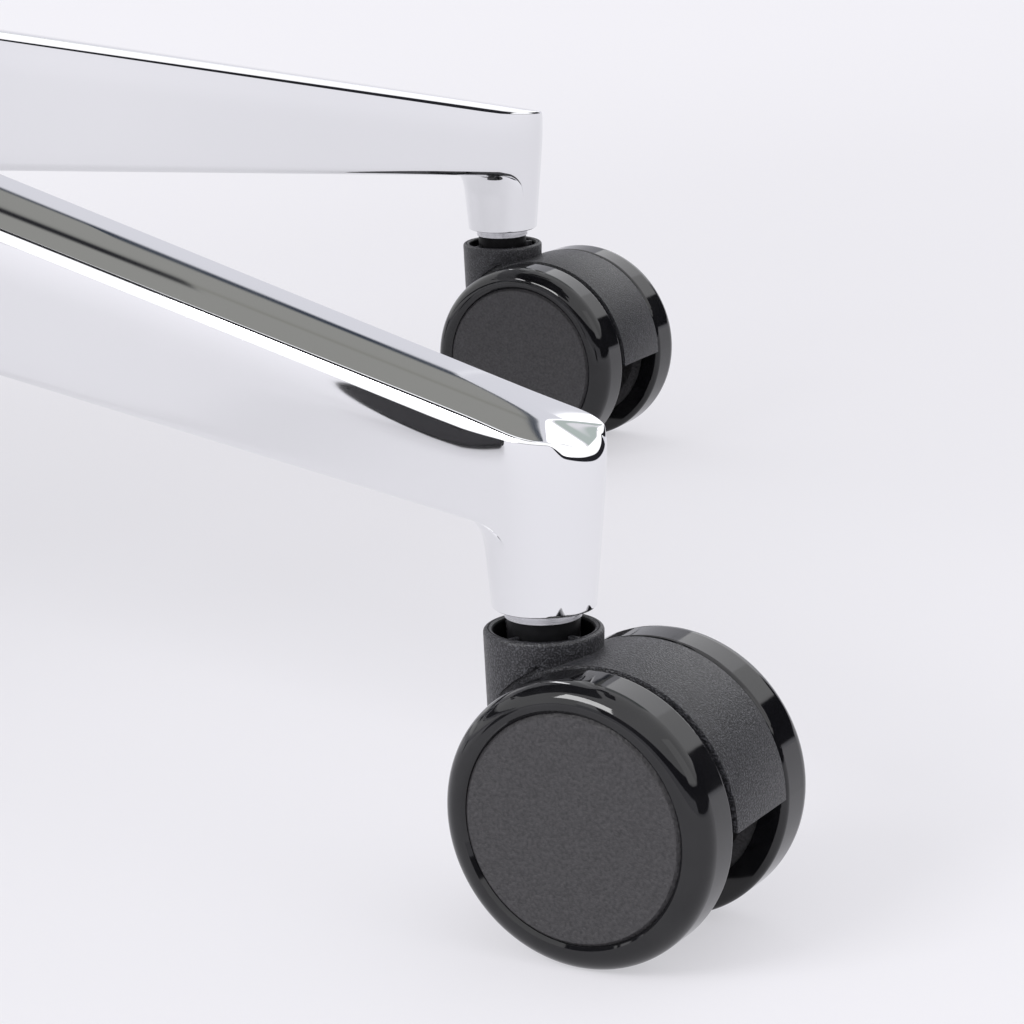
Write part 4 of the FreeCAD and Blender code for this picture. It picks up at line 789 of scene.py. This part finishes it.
# How far a pad is drawn in at first and may swell, how full it is, and the squares it is remeshed in
SEAT_PAD = dict(shrink=0.004, cap=0.008, fill=0.85, voxel=0.006)
BACK_PAD = dict(shrink=0.004, cap=0.008, fill=0.8, voxel=0.006)
ARM_REST = dict(shrink=0.002, cap=0.004, fill=0.9, voxel=0.004)
LEAST_SCALE = 0.5
# Smoothing of a pad: its strength, and the rounds after the remesh and after the simulation
SMOOTHING, EVEN_STEPS, TAUT_STEPS = 0.5, 6, 24
CLOTH_PRESSURE, CLOTH_PULL, CLOTH_QUALITY, CLOTH_FRAMES = 4, 0.02, 6, 20
CLOTH_STIFFNESS, CLOTH_BENDING = 40, 8
LEAST_MOVE = 1e-9
# Shares of a normal from which a face rests on what carries it, or shows a seam
SEAT_RESTS, BACK_RESTS, SEAM_SHOWS = 0.6, 0.5, 0.3
SEAM_DEPTH, SEAM_WIDTH, SEAM_REACH, NO_SEAM = 0.0028, 0.0045, 0.9, 1
SEAT_SEAM_Y, BACK_SEAMS = -0.178, (-0.115, 0.035)
WELT_R, WELT_STEPS, WELT_SIDES, WELT_EASE = 0.0024, 220, 10, 3
SEAT_WELT_AT, BACK_WELT_AT = -0.002, 0
# Shares of their radius by which welts and stitches stand off the pad
WELT_RISE, STITCH_RISE = 0.3, 0.4
STITCH_R, STITCH_PITCH, STITCH_FILL, STITCH_OFFSET = 0.0005, 0.0055, 0.68, 0.0065
# Thickness along a stitch: place from 0 to 1, and share of the full radius
STITCH_FORM, STITCH_SIDES = ((0, 0.45), (0.2, 1), (0.8, 1), (1, 0.45)), 6
ACROSS, REAR = Vector((1, 0, 0)), Vector((0, 1, 0))
BACK_LEAN = math.radians(10)
BACK_REAR = Vector((0, math.cos(BACK_LEAN), -math.sin(BACK_LEAN)))
BACK_UP = Vector((0, math.sin(BACK_LEAN), math.cos(BACK_LEAN)))


def remeshed(node, voxel, shrink):
    """A node's form drawn in a little and remeshed in even squares."""
    mesh = solid_of(node)
    low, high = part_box(node)
    middle, half = (low + high) / 2, (high - low) / 2
    scale = [max(1 - shrink / size, LEAST_SCALE) for size in half]
    points = coordinates(mesh)
    set_coordinates(mesh, (points - np.array(middle)) * np.array(scale) + np.array(middle))
    return with_modifiers(mesh, ("REMESH", dict(mode="VOXEL", voxel_size=voxel)),
                          ("SMOOTH", dict(factor=SMOOTHING, iterations=EVEN_STEPS)))


def puffed(mesh, resting, cap):
    """The form blown up as sewn cloth, held where it rests, each point moved by the cap at most."""
    scene = bpy.context.scene
    holder = bpy.data.objects.new("holder", mesh)
    scene.collection.objects.link(holder)
    start = coordinates(mesh)
    held = holder.vertex_groups.new(name="held")
    held.add([int(i) for i in np.flatnonzero(resting(normals(mesh)))], 1, "REPLACE")
    cloth = holder.modifiers.new("cloth", "CLOTH")
    cloth.settings.use_pressure = True
    cloth.settings.uniform_pressure_force = CLOTH_PRESSURE
    cloth.settings.shrink_min = CLOTH_PULL
    cloth.settings.effector_weights.gravity = 0
    cloth.settings.vertex_group_mass = "held"
    cloth.settings.quality = CLOTH_QUALITY
    cloth.settings.tension_stiffness = cloth.settings.compression_stiffness = CLOTH_STIFFNESS
    cloth.settings.bending_stiffness = CLOTH_BENDING
    cloth.collision_settings.use_collision = False
    for step in range(1, CLOTH_FRAMES + 1):
        scene.frame_set(step)
    graph = bpy.context.evaluated_depsgraph_get()
    end = coordinates(holder.evaluated_get(graph).data)
    scene.frame_set(1)
    bpy.data.objects.remove(holder)
    move = end - start
    length = np.linalg.norm(move, axis=1, keepdims=True)
    set_coordinates(mesh, start + move * np.minimum(1, cap / np.maximum(length, LEAST_MOVE)))
    return mesh


def sew(mesh, seams):
    """Draw a pad in along its seams, each a function of points and normals that tells how far away it is."""
    points, facing = coordinates(mesh), normals(mesh)
    pull = np.zeros(len(points))
    for away in seams:
        pull = np.maximum(pull, SEAM_DEPTH * np.exp(-(away(points, facing) / SEAM_WIDTH) ** 2))
    set_coordinates(mesh, points - facing * pull[:, None])


def cushion(name, node, resting, shrink, cap, fill, voxel, seams=()):
    """A pad in place of its solid: remeshed, swollen, smoothed and sewn."""
    mesh = remeshed(node, voxel, shrink)
    mesh = puffed(mesh, resting, cap)
    mesh = with_modifiers(mesh, ("SMOOTH", dict(factor=SMOOTHING, iterations=TAUT_STEPS)),
                          ("SUBSURF", dict(levels=1, render_levels=1)))
    sew(mesh, seams)
    mesh.shade_smooth()
    piece = piece_of(name, mesh, SLOT_OF[node], BODY_OF[node], node)
    return piece


def surface_of(piece):
    mesh = piece.data
    return BVHTree.FromPolygons([v.co for v in mesh.vertices], [f.vertices for f in mesh.polygons])


def tube_mesh(name, points, radius, sides):
    """A closed round tube along a ring of points."""
    count = len(points)
    turns = [math.tau * step / sides for step in range(sides)]
    rows = []
    for index, point in enumerate(points):
        ahead = (points[(index + 1) % count] - points[index - 1]).normalized()
        side = ahead.orthogonal().normalized() if not rows else (last - ahead * last.dot(ahead)).normalized()
        last, lift = side, ahead.cross(side)
        rows.append([point + radius * (math.cos(a) * side + math.sin(a) * lift) for a in turns])
    faces = []
    for i in range(count):
        for j in range(sides):
            k, m = (i + 1) % count, (j + 1) % sides
            faces.append((i * sides + j, k * sides + j, k * sides + m, i * sides + m))
    mesh = bpy.data.meshes.new(name)
    mesh.from_pydata([v for row in rows for v in row], [], faces)
    mesh.shade_smooth()
    return mesh


def welt(name, pad, node, offset, across, along, facing):
    """Piping round a pad, in the plane of its side seam."""
    low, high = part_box(node)
    middle = (low + high) / 2 + facing * offset
    surface = surface_of(pad)
    ring = []
    for step in range(WELT_STEPS):
        turn = math.tau * step / WELT_STEPS
        out = across * math.cos(turn) + along * math.sin(turn)
        ring.append(surface.ray_cast(middle + out, -out)[0] + out * WELT_R * WELT_RISE)
    for _ in range(WELT_EASE):
        ring = [(ring[i - 1] + ring[i] * 2 + ring[(i + 1) % WELT_STEPS]) / 4 for i in range(WELT_STEPS)]
    return piece_of(name, tube_mesh(name, ring, WELT_R, WELT_SIDES), SLOT_OF[node], BODY_OF[node])


def stitch_faces(shape, start, end, up):
    """One stitch: a short thread, thin at both ends."""
    ahead = (end - start).normalized()
    side = ahead.cross(up).normalized()
    lift = side.cross(ahead)
    turns = [math.tau * step / STITCH_SIDES for step in range(STITCH_SIDES)]
    rows = []
    for share, size in STITCH_FORM:
        middle = start.lerp(end, share)
        rows.append([shape.verts.new(middle + STITCH_R * size * (math.cos(a) * side + math.sin(a) * lift))
                     for a in turns])
    for first, second in zip(rows, rows[1:]):
        for j in range(STITCH_SIDES):
            shape.faces.new((first[j], first[j - 1], second[j - 1], second[j]))
    shape.faces.new(rows[0])
    shape.faces.new(rows[-1][::-1])


def stitches(name, pad, node, lines, facing):
    """Rows of stitches laid on a pad, each line given by its two ends."""
    surface = surface_of(pad)
    shape = bmesh.new()
    for start, end in lines:
        count = int((end - start).length / STITCH_PITCH)
        for index in range(count):
            ends = []
            for share in (index, index + STITCH_FILL):
                over = start.lerp(end, share / count) + facing
                hit = surface.ray_cast(over, -facing)
                ends.append(hit[0] + hit[1] * STITCH_R * STITCH_RISE if hit[0] else None)
            if None not in ends:
                stitch_faces(shape, *ends, facing)
    bmesh.ops.recalc_face_normals(shape, faces=shape.faces)
    mesh = mesh_of(shape, name)
    mesh.shade_smooth()
    piece = piece_of(name, mesh, "fabric", BODY_OF[node])
    piece.data.materials[0] = MATERIALS["thread"]
    return piece


def seam_lines(at, half, along):
    """A stitched line on either side of a seam across a pad, as pairs of ends."""
    return [(at + along * side - ACROSS * half, at + along * side + ACROSS * half)
            for side in (-STITCH_OFFSET, STITCH_OFFSET)]


def rests_below(facing):
    return facing[:, 2] < -SEAT_RESTS


def seat_upholstery():
    low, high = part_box("seat_cushion")
    middle = (low + high) / 2

    def seam(points, facing):
        return np.where(facing[:, 2] > SEAM_SHOWS, np.abs(points[:, 1] - SEAT_SEAM_Y), NO_SEAM)

    pad = cushion("seat_pad", "seat_cushion", rests_below, **SEAT_PAD, seams=[seam])
    welt("seat_welt", pad, "seat_cushion", SEAT_WELT_AT, ACROSS, REAR, UP)
    at = Vector((middle.x, SEAT_SEAM_Y, middle.z))
    lines = seam_lines(at, (high.x - low.x) / 2 * SEAM_REACH, REAR)
    stitches("seat_stitches", pad, "seat_cushion", lines, UP)


def back_upholstery():
    low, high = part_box("back_cushion")
    middle = (low + high) / 2
    rear, up, centre = np.array(BACK_REAR), np.array(BACK_UP), np.array(middle)

    def rests_behind(facing):
        return facing @ rear > BACK_RESTS

    def seam_at(offset):
        return lambda points, facing: np.where(facing @ rear < -SEAM_SHOWS,
                                               np.abs((points - centre) @ up - offset), NO_SEAM)

    seams = [seam_at(offset) for offset in BACK_SEAMS]
    pad = cushion("back_pad", "back_cushion", rests_behind, **BACK_PAD, seams=seams)
    welt("back_welt", pad, "back_cushion", BACK_WELT_AT, ACROSS, BACK_UP, BACK_REAR)
    lines = []
    for offset in BACK_SEAMS:
        lines += seam_lines(middle + BACK_UP * offset, (high.x - low.x) / 2 * SEAM_REACH, BACK_UP)
    stitches("back_stitches", pad, "back_cushion", lines, -BACK_REAR)


# Buttons of the armrests


# Half width and half height of a button, its rise, and how far its middle is below the top of the bracket
BUTTON_HALF, BUTTON_RISE, BUTTON_DROP = (0.0085, 0.015), 0.003, 0.036
# Rings from its foot to the middle of its dish: share of its size, and share of its rise
BUTTON_RINGS = ((1.0, -0.5), (1.0, 0.6), (0.95, 0.88), (0.86, 1.0), (0.5, 0.9), (0.001, 0.86))
BUTTON_POINTS, BUTTON_POWER = 48, 0.62


def arm_button(side):
    """A dished push button with rounded-square outline, set in the bracket."""
    node = f"arm_bracket_{side}"
    low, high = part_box(node)
    out = 1 if low.x + high.x > 0 else -1
    face = high.x if out > 0 else low.x
    middle = Vector((face, (low.y + high.y) / 2, high.z - BUTTON_DROP))
    shape = bmesh.new()
    rings = []
    for scale, rise in BUTTON_RINGS:
        ring = []
        for step in range(BUTTON_POINTS):
            turn = math.tau * step / BUTTON_POINTS
            y, z = (math.copysign(abs(share) ** BUTTON_POWER, share) * half * scale
                    for share, half in zip((math.cos(turn), math.sin(turn)), BUTTON_HALF))
            ring.append(shape.verts.new(middle + Vector((out * rise * BUTTON_RISE, y, z))))
        rings.append(ring)
    for first, second in zip(rings, rings[1:]):
        for i in range(BUTTON_POINTS):
            shape.faces.new((first[i - 1], first[i], second[i], second[i - 1]))
    shape.faces.new(rings[0])
    shape.faces.new(rings[-1])
    bmesh.ops.recalc_face_normals(shape, faces=shape.faces)
    name = f"arm_button_{side}"
    return piece_of(name, smooth(mesh_of(shape, name), BUTTON_SHARP), "moulded", BODY_OF[node])


# All pieces


ARM_SIDES = ("left", "right")
# Widths of the rounded edges of hard pieces, in millimetres
ROUNDED = {
    "mechanism_housing": 1.2, "seat_pan": 1.0, "arm_bracket_left": 2.5, "arm_bracket_right": 2.5,
    "arm_post_left": 2.0, "arm_post_right": 2.0, "back_spine": 1.5,
    "height_lever": 1.2, "tilt_lever": 1.2, "tension_knob": 1.2, "column_guide_bush": 0.5,
}
HOOD_EDGE, SHELL_EDGE = 0.45, 1.4

for name, node in NODES.items():
    node.data.materials.clear()
    node.data.materials.append(MATERIALS[SLOT_OF[name]])
    smooth(node.data, NODE_SHARP)

add_camera()
add_world()
add_floor()
add_lamps()
chrome_legs()
for name, width in ROUNDED.items():
    soften(name, width * MM)
soften("back_shell", SHELL_EDGE * MM, clamp=False)
for index, angle in enumerate(LEG_ANGLES, start=1):
    # The well in each cup gets painted shade
    paint_shade_in_well(soften(f"caster_{index}_hood", HOOD_EDGE * MM), angle)
    cup_ribs(index, angle)
for side in ARM_SIDES:
    arm_button(side)
seat_upholstery()
back_upholstery()
for side in ARM_SIDES:
    cushion(f"arm_rest_{side}", f"arm_pad_{side}", rests_below, **ARM_REST)

bpy.context.scene.view_settings.view_transform = "Standard"
